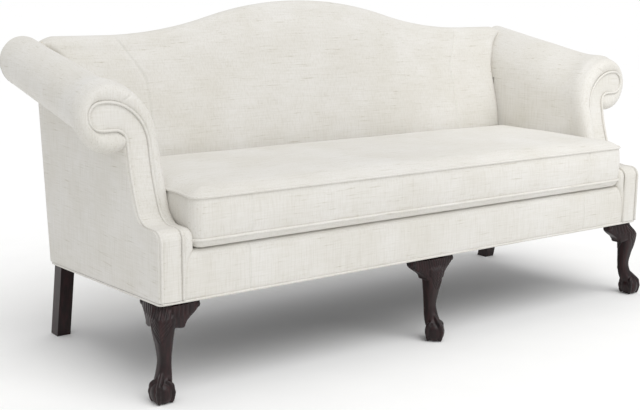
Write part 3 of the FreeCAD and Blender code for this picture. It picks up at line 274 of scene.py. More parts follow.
deck_surface = 377.2
cotton = plain_weave("plain_cotton_decking", "XY", 40.0, 0.8, [(0.2, "#C9BFA8"), (0.9, "#D8CFBA")], 0.3, 0.0005, 0.9)
deck_rows = [[spot(x, depth, deck_surface + 0.8 * drift(x * 0.008, depth * 0.008, 3.0))
              for x in steps(-830.0, 830.0, 110)] for depth in steps(62.0, 610.0, 40)]
deck = lay_cloth("decking", deck_rows, cotton, outwards=False)
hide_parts("deck_cloth", "deck_pad")


# Inside back: one tall pad of the camelback, covered in ivory linen with weft slubs.
# Three widths of cloth are joined by two plain seams; it rolls over the crest and is sewn down behind.
def slubbed_linen(name, weft, warp):
    """Ivory linen: slubs 1.5 mm thick and 20 to 60 mm long along the weft, drawn 3 mm thick to show."""
    material, tree, place = new_material(name)
    slub_scale = [14.0 if axis == weft else 260.0 for axis in "XYZ"]
    yarn_scale = [16.0 if axis == warp else 300.0 for axis in "XYZ"]
    slub_map = add_node(tree, "ShaderNodeMapping", {"Vector": place, "Scale": slub_scale})
    yarn_map = add_node(tree, "ShaderNodeMapping", {"Vector": place, "Scale": yarn_scale})
    slubs = add_node(tree, "ShaderNodeTexNoise", {"Vector": slub_map, "Scale": 1.0, "Detail": 3.0, "Roughness": 0.6})
    yarns = add_node(tree, "ShaderNodeTexNoise", {"Vector": yarn_map, "Scale": 1.0, "Detail": 2.0})
    cloud = add_node(tree, "ShaderNodeTexNoise", {"Vector": place, "Scale": 7.0, "Detail": 2.0})
    tones = [add_node(tree, "ShaderNodeValToRGB", {"Fac": amount}, stops) for amount, stops in (
        (slubs, [(0.26, "#C2BDB2"), (0.36, "#DAD8D2"), (0.7, "#E0DEDA")]),
        (yarns, [(0.3, "#F0EEEA"), (0.55, "#FFFFFF")]),
        (cloud, [(0.3, "#F8F7F4"), (0.7, "#FFFFFF")]),
    )]
    colour = tones[0]
    for factor, shade in ((0.5, tones[1]), (1.0, tones[2])):
        colour = add_node(tree, "ShaderNodeMix", {"Factor": factor, 6: colour, 7: shade},
                          data_type="RGBA", blend_type="MULTIPLY").outputs[2]
    relief = add_node(tree, "ShaderNodeMath", {0: slubs, 1: yarns}, operation="ADD")
    bump = add_node(tree, "ShaderNodeBump", {"Height": relief, "Strength": 0.35, "Distance": 0.0008})
    cloth = add_node(tree, "ShaderNodeBsdfPrincipled", {
        "Base Color": colour, "Roughness": 0.88, "Normal": bump,
        "Sheen Weight": 0.15, "Sheen Roughness": 0.5,
    })
    add_node(tree, "ShaderNodeOutputMaterial", {"Surface": cloth})
    return material


linen_across = slubbed_linen("slubbed_linen_weft_across", "X", "Z")
linen_along = slubbed_linen("slubbed_linen_weft_front_to_back", "Y", "Z")
linen_upright = slubbed_linen("slubbed_linen_weft_upright", "Z", "X")

base_depth, hem_height, hem_drop, deck_height = 656.0, 246.0, 27.0, 378.0
rake = radians(5.7)
camel_reach, camel_crown, camel_wing = 700.0, 966.0, 868.0
crown_lift = 31.0 * tan(rake)
camel_peak_rise = (camel_crown - hem_height) / cos(rake) - crown_lift
camel_wing_rise = (camel_wing - hem_height) / cos(rake) - crown_lift


def camel_rise(x):
    """Camel line up the raked back: two arcs that meet halfway down the hump."""
    x, half = abs(x), camel_reach / 2
    hump = camel_peak_rise - camel_wing_rise
    radius = (half ** 2 + (hump / 2) ** 2) / hump
    if x >= camel_reach:
        return camel_wing_rise
    if x > half:
        return camel_wing_rise + radius - sqrt(radius ** 2 - (camel_reach - x) ** 2)
    return camel_peak_rise - radius + sqrt(radius ** 2 - x ** 2)


def on_back(x, forward, rise):
    """A point forward of the raked outside back and up along it."""
    depth = base_depth - forward * cos(rake) + rise * sin(rake)
    return spot(x, depth, hem_height + forward * sin(rake) + rise * cos(rake))


def back_depth(height, forward=0.0):
    """Depth of the raked back plane at a height, or of a plane that far in front of it."""
    return base_depth + (height - hem_height) * tan(rake) - forward / cos(rake)


def smooth_run(points, count):
    """A smooth run through points of any number of coordinates, evenly divided."""
    out = []
    last = len(points) - 1
    for t in steps(0.0, last, count):
        i = min(int(t), last - 1)
        f = t - i
        a, b, c, d = (points[max(0, min(last, i + k))] for k in (-1, 0, 1, 2))
        out.append([
            0.5 * (2 * q + (r - p) * f + (2 * p - 5 * q + 4 * r - s) * f * f + (3 * q - p - 3 * r + s) * f ** 3)
            for p, q, r, s in zip(a, b, c, d)
        ])
    return out


arm_side, facing_inner, facing_outer, back_reach = 811.0, 833.0, 893.0, 895.0
roll_middle, roll_front_depth, roll_rear_depth, roll_front_height = 933.0, 172.2, 706.0, 692.0


def roll_at(depth):
    """Height of the arm roll's middle, its radius and how far below its middle the arm's side ends."""
    share = (depth - roll_front_depth) / (roll_rear_depth - roll_front_depth)
    return roll_front_height + 105.0 * share, 75.0 - 5.0 * share, 62.0 + 45.0 * share


def turn_into(run, drop, radius):
    """The arc from an upright side out into a roll: its radius, and the angle where the two meet."""
    turn = (run ** 2 + drop ** 2 - radius ** 2) / (2 * (run - radius))
    return turn, atan2(drop, run - turn)


def inner_arm_x(height):
    """How far out the inside arm lies where it meets the inside back."""
    middle, radius, drop = roll_at(back_depth(height, 70.0))
    if height <= middle - drop:
        return arm_side
    turn, _ = turn_into(roll_middle - arm_side, drop, radius)
    if height <= middle - drop + turn * drop / (turn - radius):
        return arm_side + turn - sqrt(turn ** 2 - (height - middle + drop) ** 2)
    rise = min(height - middle, radius)
    return min(back_reach, roll_middle - sqrt(radius ** 2 - rise ** 2))


def crest_rise(x):
    """The crest as covered: the camel line, eased down at its ends to meet the arm rolls."""
    return camel_rise(x) - 18.0 * max(0.0, (abs(x) - 855.0) / 45.0) ** 1.5


def back_profile(x):
    """Forward and rise of the padded back at a place across, foot to sewn-down edge."""
    top, foot = crest_rise(x), (deck_height - hem_height) / cos(rake)
    shoulder = top - 160.0
    lower = [(forward, foot + part * (shoulder - foot)) for forward, part in (
        (116.0, 0.0), (123.0, 0.25), (124.0, 0.5), (112.0, 0.8))]
    return lower + [
        (97.0, shoulder + 10), (82.0, shoulder + 75), (68.0, top - 48.0), (60.0, top - 24.0), (48.0, top - 7.0),
        (31.0, top), (14.0, top - 4.0), (3.0, top - 12.0), (-2.0, top - 22.0),
    ]


def ridge(away, width):
    """One in the middle of a seam, rim or dent, falling off smoothly over a width."""
    return exp(-(away / width) ** 2)


tuck_width = 26.0
columns = []
for k in steps(-1.0, 1.0, 481):
    column = []
    for forward, rise in smooth_run(back_profile(k * back_reach), 90):
        height = hem_height + rise * cos(rake)
        edge = inner_arm_x(height) + 4.0
        x = k * edge
        tuck = max(0.0, 1.0 - (edge - abs(x)) / tuck_width)
        seam_x = 604.0 + 76.0 * max(0.0, (height - 736.0) / 133.0)
        groove = 3.0 * ridge(abs(x) - seam_x, 4.0)
        softness = 1.6 * drift(x * 0.006, height * 0.009, 1.0)
        recess = min(14.0, max(0.0, forward - 50.0))
        column.append(on_back(x, forward - recess * tuck ** 2.2 - groove + softness, rise))
    columns.append(column)
inside_back = lay_cloth("inside_back_cover", columns, linen_across)
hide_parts("inside_back")


# Inside arms: the inside arm cover runs up from the deck, over the roll and round to the outside arm.
# In front it is pulled round the padded edge of the arm to the facing, and gathered under the scroll.
toe_top, toe_corner, cover_foot, arm_stages = 430.0, 26.0, 254.0, 7
sweep, slow, lean, upright = 62.0, 585.0, radians(25.0), radians(3.0)


def arm_edge(q):
    """The arm's front in the side view, hem (0) to scroll (7), as depth and height."""
    sweep_middle = (62.0, toe_top + sweep)
    slow_middle = (sweep_middle[0] + (sweep - slow) * cos(lean), sweep_middle[1] - (sweep - slow) * sin(lean))
    stage = min(int(q), arm_stages - 1)
    f = q - stage
    if stage == 0:
        return 0.0, cover_foot + f * (deck_height - cover_foot)
    if stage == 1:
        return 0.0, deck_height + f * (toe_top - toe_corner - deck_height)
    if stage == 2:
        angle = pi - f * pi / 2
        return toe_corner + toe_corner * cos(angle), toe_top - toe_corner + toe_corner * sin(angle)
    if stage == 3:
        return toe_corner + f * (sweep_middle[0] - toe_corner), toe_top
    if stage == 4:
        angle = -pi / 2 + f * (pi / 2 - lean)
        return sweep_middle[0] + sweep * cos(angle), sweep_middle[1] + sweep * sin(angle)
    if stage == 5:
        angle = -lean + f * (lean - upright)
        return slow_middle[0] + slow * cos(angle), slow_middle[1] + slow * sin(angle)
    start = slow_middle[0] + slow * cos(upright), slow_middle[1] - slow * sin(upright)
    return start[0] + f * 100.0 * tan(upright), start[1] + f * 100.0


edge_table = [arm_edge(q / 60.0) for q in range(150, 421)]


def edge_at(height):
    """Depth of the arm's front at a height above the toe, and how it faces."""
    height = max(height, 440.0)
    for (d0, h0), (d1, h1) in zip(edge_table, edge_table[1:]):
        if h0 <= height <= h1 and h1 > h0:
            f = (height - h0) / (h1 - h0)
            return d0 + f * (d1 - d0), atan2(d1 - d0, h1 - h0)
    d0, h0 = edge_table[-1]
    return d0 + (height - h0) * tan(upright), upright


def roll_point(s, depth):
    """Section of the inside arm and roll at a depth: s 0 to 1 is the turn, 1 to 2 the roll, round to under it."""
    middle, radius, drop = roll_at(depth)
    turn, meet = turn_into(roll_middle - arm_side, drop, radius)
    under = -acos((facing_outer - roll_middle) / radius)
    if s <= 1.0:
        angle = pi + s * (meet - pi)
        centre, reach = (arm_side + turn, middle - drop), turn
    else:
        angle = meet + (s - 1.0) * (under - meet)
        centre, reach = (roll_middle, middle), radius
    normal = (cos(angle), sin(angle))
    return centre[0] + reach * normal[0], centre[1] + reach * normal[1], normal


head_middle, head_radius, head_end = (957.0, 698.0), 35.0, 1.72
throat_x, throat_height, throat_radius, throat_part = 923.0, 663.0, 30.0, 0.45


def panel_outline(s):
    """Outline of the arm facing beside that section: round its head, along the throat and down."""
    drop = 78.0
    turn, meet = turn_into(head_middle[0] - facing_inner, drop, head_radius)
    if s <= 1.0:
        angle = pi + s * (meet - pi)
        return facing_inner + turn + turn * cos(angle), head_middle[1] - drop + turn * sin(angle)
    if s <= head_end:
        angle = meet + (s - 1.0) / (head_end - 1.0) * (-pi / 2 - meet)
        return head_middle[0] + head_radius * cos(angle), head_middle[1] + head_radius * sin(angle)
    f = (s - head_end) / (2.0 - head_end)
    if f < throat_part:
        return head_middle[0] - (head_middle[0] - throat_x) * f / throat_part, throat_height
    angle = pi / 2 + (f - throat_part) / (1.0 - throat_part) * pi / 2
    return (throat_x + throat_radius * cos(angle),
            throat_height - throat_radius + throat_radius * sin(angle))


proud_edge, padded_side = 12.0, 799.0


def edge_swell(behind):
    """How far the padding stands proud of the arm's side, just behind its front edge."""
    return proud_edge * ridge(max(0.0, behind), 52.0)


def clamp(value):
    """A value kept from 0 to 1."""
    return max(0.0, min(1.0, value))


def crease_x(height):
    """How far out the arm's padded edge folds in beside the front border, deck to hem."""
    fall = clamp((deck_height - height) / (deck_height - cover_foot))
    return padded_side + 31.0 * (1.0 - (1.0 - fall) ** 2.2)


round_steps, long_steps, flat_part = 13, 56, 0.45


def over_edge(width, soft, proud):
    """Padding pulled over the arm's front edge: progress, share of the width and how far it stands out."""
    flat = 1.0 - soft / max(width, 1.0)
    run = []
    for t in steps(0.0, 1.0, round_steps):
        if t < flat_part:
            f = t / flat_part
            run.append((t, flat * f, -3.0 * (1.0 - f) ** 3 + proud * sin(f * pi / 2)))
        else:
            angle = (t - flat_part) / (1.0 - flat_part) * pi / 2
            share = flat + (1.0 - flat) * sin(angle)
            run.append((t, share, proud * cos(angle) - soft * (1.0 - cos(angle))))
    return run


def low_arm_row(q):
    """One row of the right inside arm below the scroll: round its front edge, then straight back."""
    depth, height = arm_edge(q)
    ahead_depth, ahead_height = arm_edge(min(q + 0.02, 7.0))
    slope = atan2(ahead_depth - depth, max(ahead_height - height, 1e-6))
    low = q < 1.0
    width = facing_inner - (crease_x(height) if low else padded_side)
    row = [Vector((facing_inner - width * share, depth - cos(slope) * proud, height + sin(slope) * proud))
           for _, share, proud in over_edge(width, min(17.0, 0.8 * width), 1.5)]
    start = row[-1]
    if low:
        return row + [start + Vector((0.0, min(22.0, 2.5 * n), 0.0)) for n in range(1, long_steps)]
    end_height = deck_height + (q - 1.0) / 4.0 * (690.0 - deck_height)
    end = Vector((arm_side, back_depth(end_height, 98.0), end_height))
    for f in steps(0.0, 1.0, long_steps)[1:]:
        point = start.lerp(end, f)
        point.x = arm_side - edge_swell(point.y - start.y)
        point.x += 1.6 * drift(point.y * 0.006, point.z * 0.008, 7.0) * sin(pi * f)
        row.append(point)
    return row


def roll_row(s):
    """One row of the right inside arm round the roll: from the facing out, over the edge and back."""
    depth = roll_front_depth
    for _ in range(4):
        x, height, normal = roll_point(s, depth)
        depth = edge_at(height)[0]
    px, pz = panel_outline(s)
    panel_depth = edge_at(pz)[0]
    below = atan2(roll_front_height - height, x - 930.0)
    under = max(0.0, sin(below + radians(12.0))) if s > 1.0 else 0.0
    x, height = x + proud_edge * normal[0], height + proud_edge * normal[1]
    width = hypot(x - px, height - pz)
    gather = sin(s * 150.0) * (0.35 + 0.65 * drift(s * 9.0, 0.0, 2.0) ** 2)
    seam = ridge(s - 0.74, 0.014)
    row = []
    for t, share, proud in over_edge(width, min(28.0, 0.75 * width), 4.0):
        pleat = 2.4 * gather * under * sin(pi * min(1.0, t * 1.2))
        pleat -= 2.6 * seam * sin(pi * min(1.0, t * 1.15))
        row.append(Vector((
            px + (x - px) * share + normal[0] * pleat,
            panel_depth + (depth - panel_depth) * share - proud - 1.1 * pleat,
            pz + (height - pz) * share + normal[1] * pleat,
        )))
    start_depth = row[-1].y
    end_depth = back_depth(height)
    for _ in range(3):
        end_depth = back_depth(roll_point(s, end_depth)[1], 1.0)
    for f in steps(0.0, 1.0, long_steps)[1:]:
        here = start_depth + (end_depth - start_depth) * f
        x, z, normal = roll_point(s, here)
        fade = exp(-(here - start_depth) / 16.0)
        swell = 1.8 * drift(here * 0.007, s * 2.2, 11.0) * min(1.0, f * 8.0) * min(1.0, (1.0 - f) * 8.0)
        swell += 1.6 * gather * under * fade + edge_swell(here - start_depth)
        row.append(Vector((x + normal[0] * swell, here, z + normal[1] * swell)))
    return row


def right_or_left(rows, side):
    """Rows of points in millimetres, placed on the right or mirrored to the left."""
    return [[spot(point[0] * side, point[1], point[2]) for point in row] for row in rows]


arm_rows = [low_arm_row(q) for q in steps(0.0, 5.0, 120)] + [roll_row(s) for s in steps(0.0, 2.0, 150)[1:]]
for side, word in sides:
    inside_arm = lay_cloth("inside_arm_cover_" + word, right_or_left(arm_rows, side), linen_along)
    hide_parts("inside_arm_" + word)


# Arm facings: the front panels of the arms, cut to the scroll, sewn in over a thin pad after the rest.
# A welt, a cord covered in the same linen cut on the bias, runs round each one in the seam.
def turns(count):
    """Angles of places spaced evenly round a circle."""
    return [2 * pi * n / count for n in range(count)]


def lay_cord(name, path, radius, material, closed=False, body="sofa"):
    """A covered cord along a path of points, in metres."""
    rows = []
    last, places_round = len(path) - 1, 10
    side_before = None
    for i, point in enumerate(path):
        ahead = path[(i + 1) % len(path)] if closed else path[min(i + 1, last)]
        behind = path[i - 1] if closed or i else path[0]
        along = (ahead - behind).normalized()
        if side_before is None:
            side_before = along.cross(Vector((0.0, 0.0, 1.0) if abs(along.z) < 0.9 else (1.0, 0.0, 0.0)))
        side_before = (side_before - along * side_before.dot(along)).normalized()
        over = along.cross(side_before)
        rows.append([point + radius * (cos(a) * side_before + sin(a) * over) for a in turns(places_round)])
    cord = lay_cloth(name, rows, material, join_rows=closed, join_ends=True, body=body, outwards=closed)
    if not closed:
        mesh = bmesh.new()
        mesh.from_mesh(cord.data)
        mesh.verts.ensure_lookup_table()
        mesh.faces.new(mesh.verts[:places_round])
        mesh.faces.new(mesh.verts[len(mesh.verts) - places_round:])
        mesh.to_mesh(cord.data)
        mesh.free()
        face_outwards(cord)
    return cord


def even_path(points, spacing):
    """The same path with its points evenly spaced."""
    lengths = [0.0]
    for a, b in zip(points, points[1:]):
        lengths.append(lengths[-1] + (b - a).length)
    count = max(2, int(lengths[-1] / spacing) + 1)
    out, k = [], 0
    for target in steps(0.0, lengths[-1], count):
        while k < len(points) - 2 and lengths[k + 1] < target:
            k += 1
        gap = max(lengths[k + 1] - lengths[k], 1e-9)
        out.append(points[k].lerp(points[k + 1], min(1.0, (target - lengths[k]) / gap)))
    return out


facing_top, neck_end, neck_foot, neck_outer_foot = 5.63, 0.35, 620.0, 612.0


def facing_strips():
    """Right arm facing: its inner and outer edge for each strip across it, hem to the scroll's end."""
    strips = []
    for q in steps(0.0, facing_top, 130):
        depth, height = arm_edge(q)
        ahead = arm_edge(q + 0.02)
        strips.append(((facing_inner, depth, height), (facing_outer, depth, height),
                       atan2(ahead[0] - depth, ahead[1] - height)))
    top_height = strips[-1][0][2]
    for t in steps(0.0, 1.0, 76)[1:]:
        if t < 0.25:
            f = t / 0.25
            left = (facing_inner, top_height + f * (neck_foot - top_height))
            right = (facing_outer, top_height + f * (neck_outer_foot - top_height))
        elif t < 0.6:
            f = (t - 0.25) / 0.35
            left = panel_outline(f)
            if f < neck_end:
                right = (facing_outer, neck_outer_foot + f / neck_end * 21.0)
            else:
                right = panel_outline(2.0 - 0.28 * 0.55 * (f - neck_end) / (1.0 - neck_end))
        else:
            f = (t - 0.6) / 0.4
            left = panel_outline(1.0 + 0.72 * f)
            right = (throat_x + 34.0 * f, throat_height)
        strips.append(((left[0], edge_at(left[1])[0], left[1]), (right[0], edge_at(right[1])[0], right[1]), None))
    return strips


strips = facing_strips()
facing = []
for left, right, strip_slope in strips:
    width = hypot(right[0] - left[0], right[2] - left[2])
    row = []
    for f in steps(0.0, 1.0, 15):
        x, depth, height = (a + (b - a) * f for a, b in zip(left, right))
        slope = strip_slope
        if slope is None:
            depth, slope = edge_at(height)
        puff = 3.2 * (1.0 - abs(2 * f - 1.0) ** 3) * min(1.0, width / 30.0) + 0.5 * drift(x * 0.02, height * 0.012, 5.0)
        row.append(Vector((x, depth - puff * cos(slope) + 1.0, height + puff * sin(slope))))
    facing.append(row)
facing_edge = [Vector(left) for left, _, _ in strips] + [Vector(right) for _, right, _ in reversed(strips)]
for side, word in sides:
    panel = lay_cloth("arm_facing_panel_" + word, right_or_left(facing, side), linen_across)
    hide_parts("arm_facing_" + word)
    path = [spot(p.x * side, p.y - 2.2, p.z) for p in facing_edge]
    welt = lay_cord("arm_facing_welt_" + word, even_path(path, 0.006), 0.0038, linen_upright)


# Outside arms: a flat panel from the hem to the underside of the roll, blind-tacked there.
# It is stretched over burlap, turned round the facing's edge in front and sewn to the outside back.
rear_foot, rear_top, edge_round = 227.2, 742.0, 7.0
outside_rows = []
for share in steps(0.0, 1.0, 84):
    depth, height = arm_edge(share * 5.83)
    row = [Vector((facing_outer + edge_round * sin(angle), depth + edge_round * (1.0 - cos(angle)), height))
           for angle in steps(0.0, pi / 2, 7)]
    start = row[-1]
    rear_height = rear_foot + share * (rear_top - rear_foot)
    rear = back_depth(rear_height, 2.0)
    for f in steps(0.0, 1.0, 46)[1:]:
        y, z = start.y + f * (rear - start.y), start.z + f * (rear_height - start.z)
        swell = 1.76 * drift(y * 0.005, z * 0.005, 21.0) * sin(pi * min(1.0, f * 1.02))
        row.append(Vector((900.5 + swell, y, z)))
    outside_rows.append(row)
for side, word in sides:
    panel = lay_cloth("outside_arm_panel_" + word, right_or_left(outside_rows, side), linen_along)
    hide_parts("outside_arm_" + word)


# Outside back: one wide panel, tacked under the crest and down both sides and drawn tight to the hem.
# A round piece closes the back of each arm roll. The edges are turned under and slip-stitched.
back_half, back_foot = 901.0, -18.5
back_rows = []
for wide in steps(-back_half, back_half, 181):
    top = crest_rise(wide) - 16.0
    edge = min(1.0, (back_half - abs(wide)) / 9.0)
    row = []
    for rise in steps(back_foot, top, 61):
        drawn = 1.4 * drift(wide * 0.004, rise * 0.004, 31.0)
        row.append(on_back(wide, -1.5 * edge + 3.0 * (1.0 - edge) ** 2 - drawn * edge, rise))
    back_rows.append(row)
outside_back = lay_cloth("outside_back_panel", back_rows, linen_across)
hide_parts("outside_back")
for side, word in sides:
    middle, radius, _ = roll_at(roll_rear_depth)
    rise = (middle - hem_height) / cos(rake)
    rows = []
    for f in steps(0.02, 1.0, 14):
        reach, dome = (radius + 1.0) * f, 3.5 * (1.0 - f ** 4) - 0.5
        rows.append([on_back(side * (roll_middle + reach * cos(a)), -dome, rise + reach * sin(a))
                     for a in turns(56)])
    end = lay_cloth("arm_roll_end_" + word, rows, linen_across, join_ends=True)


# Front border: the linen band between the deck and the hem, pulled over an edge roll and tacked below.
# It has two plain seams, and at each end it is folded in against the arm's padded edge.
border_half, border_seam, border_straight = 820.0, 637.0, 700.0
border_places = steps(-border_half, border_half, 301)
for seam_x in (-border_seam, border_seam):
    border_places += [seam_x + shift for shift in (-6.0, -4.0, -2.7, -1.3, 0.0, 1.3, 2.7, 4.0, 6.0)]
border_places.sort()
border_profile = [
    (60.0, 376.8), (44.0, 377.4), (28.0, 377.2), (16.0, 375.8), (8.0, 372.5), (3.0, 367.0), (0.4, 360.0), (-1.2, 345.0),
    (-2.0, 322.0), (-2.0, 300.0), (-1.4, 276.0), (-0.4, 262.0), (1.0, cover_foot),
]
border_rows = []
for depth, height in smooth_run(border_profile, 46):
    reach = crease_x(height) + 6.0
    row = []
    for x in border_places:
        if abs(x) > border_straight:
            past = (abs(x) - border_straight) * (reach - border_straight) / (border_half - border_straight)
            x = copysign(border_straight + past, x)
        fold = max(0.0, 1.0 - (reach - abs(x)) / 15.0)
        seam = 2.2 * ridge(abs(x) - border_seam, 2.0)
        soft = 0.9 * drift(x * 0.008, height * 0.015, 41.0)
        row.append(spot(x, depth + 5.0 * fold ** 2 + seam - soft, height))
    border_rows.append(row)
border = lay_cloth("front_border_cover", border_rows, linen_across)
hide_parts("front_border")


# Base welt: a covered cord sewn round the hem, where every cover ends above the legs.
# It lies against the covers and follows the hem, which is 27 mm lower at the back than in front.
hem_side, hem_front, hem_back, hem_corner = 885.0, 15.0, 638.0, 12.5
hem_path = []
for x0, d0, x1, d1 in (
    (-hem_side, hem_front - hem_corner, hem_side, hem_front - hem_corner),
    (hem_side + hem_corner, hem_front, hem_side + hem_corner, hem_back),
    (hem_side, hem_back + hem_corner, -hem_side, hem_back + hem_corner),
    (-hem_side - hem_corner, hem_back, -hem_side - hem_corner, hem_front),
):
    hem_path += [(x0 + (x1 - x0) * f, d0 + (d1 - d0) * f) for f in steps(0.0, 1.0, 90)]
    corner_x, corner_d = copysign(hem_side, x1), (hem_front if d1 < 300 else hem_back)
    start = atan2(d1 - corner_d, x1 - corner_x)
    hem_path += [(corner_x + hem_corner * cos(start + a), corner_d + hem_corner * sin(start + a))
                 for a in steps(0.0, pi / 2, 9)[1:-1]]


def hem_at(depth):
    """Height of the hem at a depth."""
    return hem_height - hem_drop * depth / base_depth


path = [spot(x, d, hem_at(d) + 4.0) for x, d in hem_path]
base_welt = lay_cord("base_welt_cord", path, 0.004, linen_across, closed=True)
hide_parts("base_welt")


# Seat cushion: a loose box cushion of foam in a down wrap, with a top, a bottom and a boxing between.
# Both seams hold a welt. The fill crowns the panels, and the seams draw the linen in and pucker it.
cushion_half, cushion_front, cushion_rear, cushion_corner = 807.0, -8.0, 542.0, 34.0
low_seam, high_seam = 400.0, 507.0


def cushion_edge(count_long, count_short, grow=0.0):
    """The cushion's plan outline, anticlockwise from the front left, as x, depth and outward direction."""
    r, count_corner = cushion_corner, 14
    x, front, rear = cushion_half - r, cushion_front + r, cushion_rear - r
    out = []
    for (x0, d0, x1, d1, count, angle) in (
        (-x, front, x, front, count_long, -pi / 2), (x, front, x, rear, count_short, 0.0),
        (x, rear, -x, rear, count_long, pi / 2), (-x, rear, -x, front, count_short, pi),
    ):
        for f in steps(0.0, 1.0, count):
            out.append((x0 + (x1 - x0) * f, d0 + (d1 - d0) * f, cos(angle), sin(angle)))
        for a in steps(angle, angle + pi / 2, count_corner)[1:-1]:
            out.append((x1, d1, cos(a), sin(a)))
    return [(px + (r + grow) * nx, pd + (r + grow) * nd, nx, nd) for px, pd, nx, nd in out]


def dent(d):
    """How far the arm's padded edge presses into the cushion's end."""
    return 11.0 * ridge(d - 100.0, 70.0)


def dented(x, d):
    """A place across, where the cushion gives way to the arms' padded edges."""
    return x * (1.0 - dent(d) / cushion_half)


def closer(share):
    """Places from -1 to 1 that crowd together towards both ends."""
    return copysign(1.0 - (1.0 - abs(share)) ** 1.35, share)


def cushion_panel(rise_at):
    """A panel from the cushion's seam inwards, as a grid that follows its rounded corners."""
    rows = []
    half_depth = (cushion_rear - cushion_front) / 2
    for v in map(closer, steps(-1.0, 1.0, 101)):
        d = cushion_front + half_depth * (1.0 + v)
        from_corner = max(0.0, cushion_corner - half_depth * (1.0 - abs(v)))
        reach = cushion_half - cushion_corner + sqrt(cushion_corner ** 2 - from_corner ** 2)
        rows.append([spot(dented(u * reach, d), d, rise_at(u * reach, d)) for u in map(closer, steps(-1.0, 1.0, 261))])
    return rows


def seam_distance(x, d):
    """Distance in from the cushion's outline, near enough for shaping its panels."""
    to_side = cushion_half - abs(x)
    to_end = min(d - cushion_front, cushion_rear - d)
    if to_side < cushion_corner and to_end < cushion_corner:
        return max(0.0, cushion_corner - hypot(cushion_corner - to_side, cushion_corner - to_end))
    return max(0.0, min(to_side, to_end))


def pucker(along, away, seed):
    """Small gathers that the seam's stitches draw into the linen beside it."""
    return drift(along * 0.035, away * 0.004, seed) * exp(-away / 14.0)


def top_height(x, d):
    """The top panel: steep beside the seam, then gently crowned."""
    away = seam_distance(x, d)
    edge = 1.0 - exp(-away / 24.0)
    middle = (1.0 - (abs(x) / cushion_half) ** 6) * (1.0 - abs((d - 267.0) / 275.0) ** 4)
    soft = 2.0 * drift(x * 0.004, d * 0.006, 51.0)
    crown = 23.0 * edge + (7.0 * middle + soft) * min(1.0, away / 40.0)
    return high_seam + 1.0 + crown + 1.6 * pucker(x + d, away, 3.0)


def bottom_height(x, d):
    """The bottom panel: down from the seam, then flat on the deck."""
    return max(378.4, low_seam - 1.0 - 21.63 * (1.0 - exp(-seam_distance(x, d) / 5.5)))


top_panel = lay_cloth("cushion_top", cushion_panel(top_height), linen_across, body="seat_cushion")
bottom_panel = lay_cloth("cushion_bottom", cushion_panel(bottom_height), linen_across, body="seat_cushion")
boxing_seam = 640.0
outline = cushion_edge(420, 150)
boxing_rows = []
for f in steps(0.0, 1.0, 27):
    height = low_seam + f * (high_seam - low_seam)
    away = min(f, 1.0 - f) * (high_seam - low_seam)
    bulge = 6.5 * sin(pi * f) ** 0.7 - 2.0
    row = []
    for x, d, nx, nd in outline:
        join = 2.2 * ridge(abs(x) - boxing_seam, 3.6) if abs(nd) > 0.9 else 0.0
        soft = 0.8 * drift(x * 0.006, d * 0.006 + height * 0.02, 61.0) * sin(pi * f)
        push = bulge - join + soft + 0.9 * pucker(x + d, away, 9.0)
        row.append(spot(dented(x + nx * push, d), d + nd * push, height))
    boxing_rows.append(row)
boxing = lay_cloth("cushion_boxing_cover", boxing_rows, linen_across, join_ends=True, body="seat_cushion")
for panel, node in (
    (top_panel, "cushion_top_panel"), (bottom_panel, "cushion_bottom_panel"), (boxing, "cushion_boxing"),
):
    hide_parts(node)
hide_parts("cushion_core")
for name, node, height in (
    ("cushion_lower_welt", "cushion_welt_lower", low_seam), ("cushion_upper_welt", "cushion_welt_upper", high_seam),
):
    path = [spot(dented(x, d), d, height) for x, d, _, _ in cushion_edge(300, 110, grow=0.5)]
    welt = lay_cord(name, path, 0.004, linen_across, closed=True, body="seat_cushion")
    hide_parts(node)


# Dust cover: black cambric stapled under the base, cut round the legs, to keep the springs clean.
# A thin, dull black cloth; its threads, about 0.3 mm wide, are drawn 2.6 mm wide to show.
cambric = plain_weave("black_cambric", "XY", 60.0, 0.5, [(0.2, "#141414"), (0.9, "#232322")], 0.3, 0.0005, 0.92)
dust_rows = [[spot(x, depth, hem_at(depth) + 4.5 + 1.2 * drift(x * 0.006, depth * 0.006, 71.0))
              for x in steps(-890.0, 890.0, 250)] for depth in steps(10.0, 643.0, 96)]
dust_cover = lay_cloth("dust_cover_cloth", dust_rows, cambric, outwards=False)
leg_places = [(0.0, 40.0, 80.0, 36.0)]
for side, _ in sides:
    leg_places += [(side * 860.0, 40.0, 72.0, 72.0), (side * 870.5, 622.0, 24.0, 30.0)]
cutting = bmesh.new()
cutting.from_mesh(dust_cover.data)
cut_faces = []
for face in cutting.faces:
    middle = face.calc_center_median() * 1000.0
    depth = middle.y - front_face * 1000.0
    if any(abs(middle.x - x) < across and abs(depth - d) < along for x, d, across, along in leg_places):
        cut_faces.append(face)
bmesh.ops.delete(cutting, geom=cut_faces, context="FACES")
cutting.to_mesh(dust_cover.data)
cutting.free()
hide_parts("dust_cover")


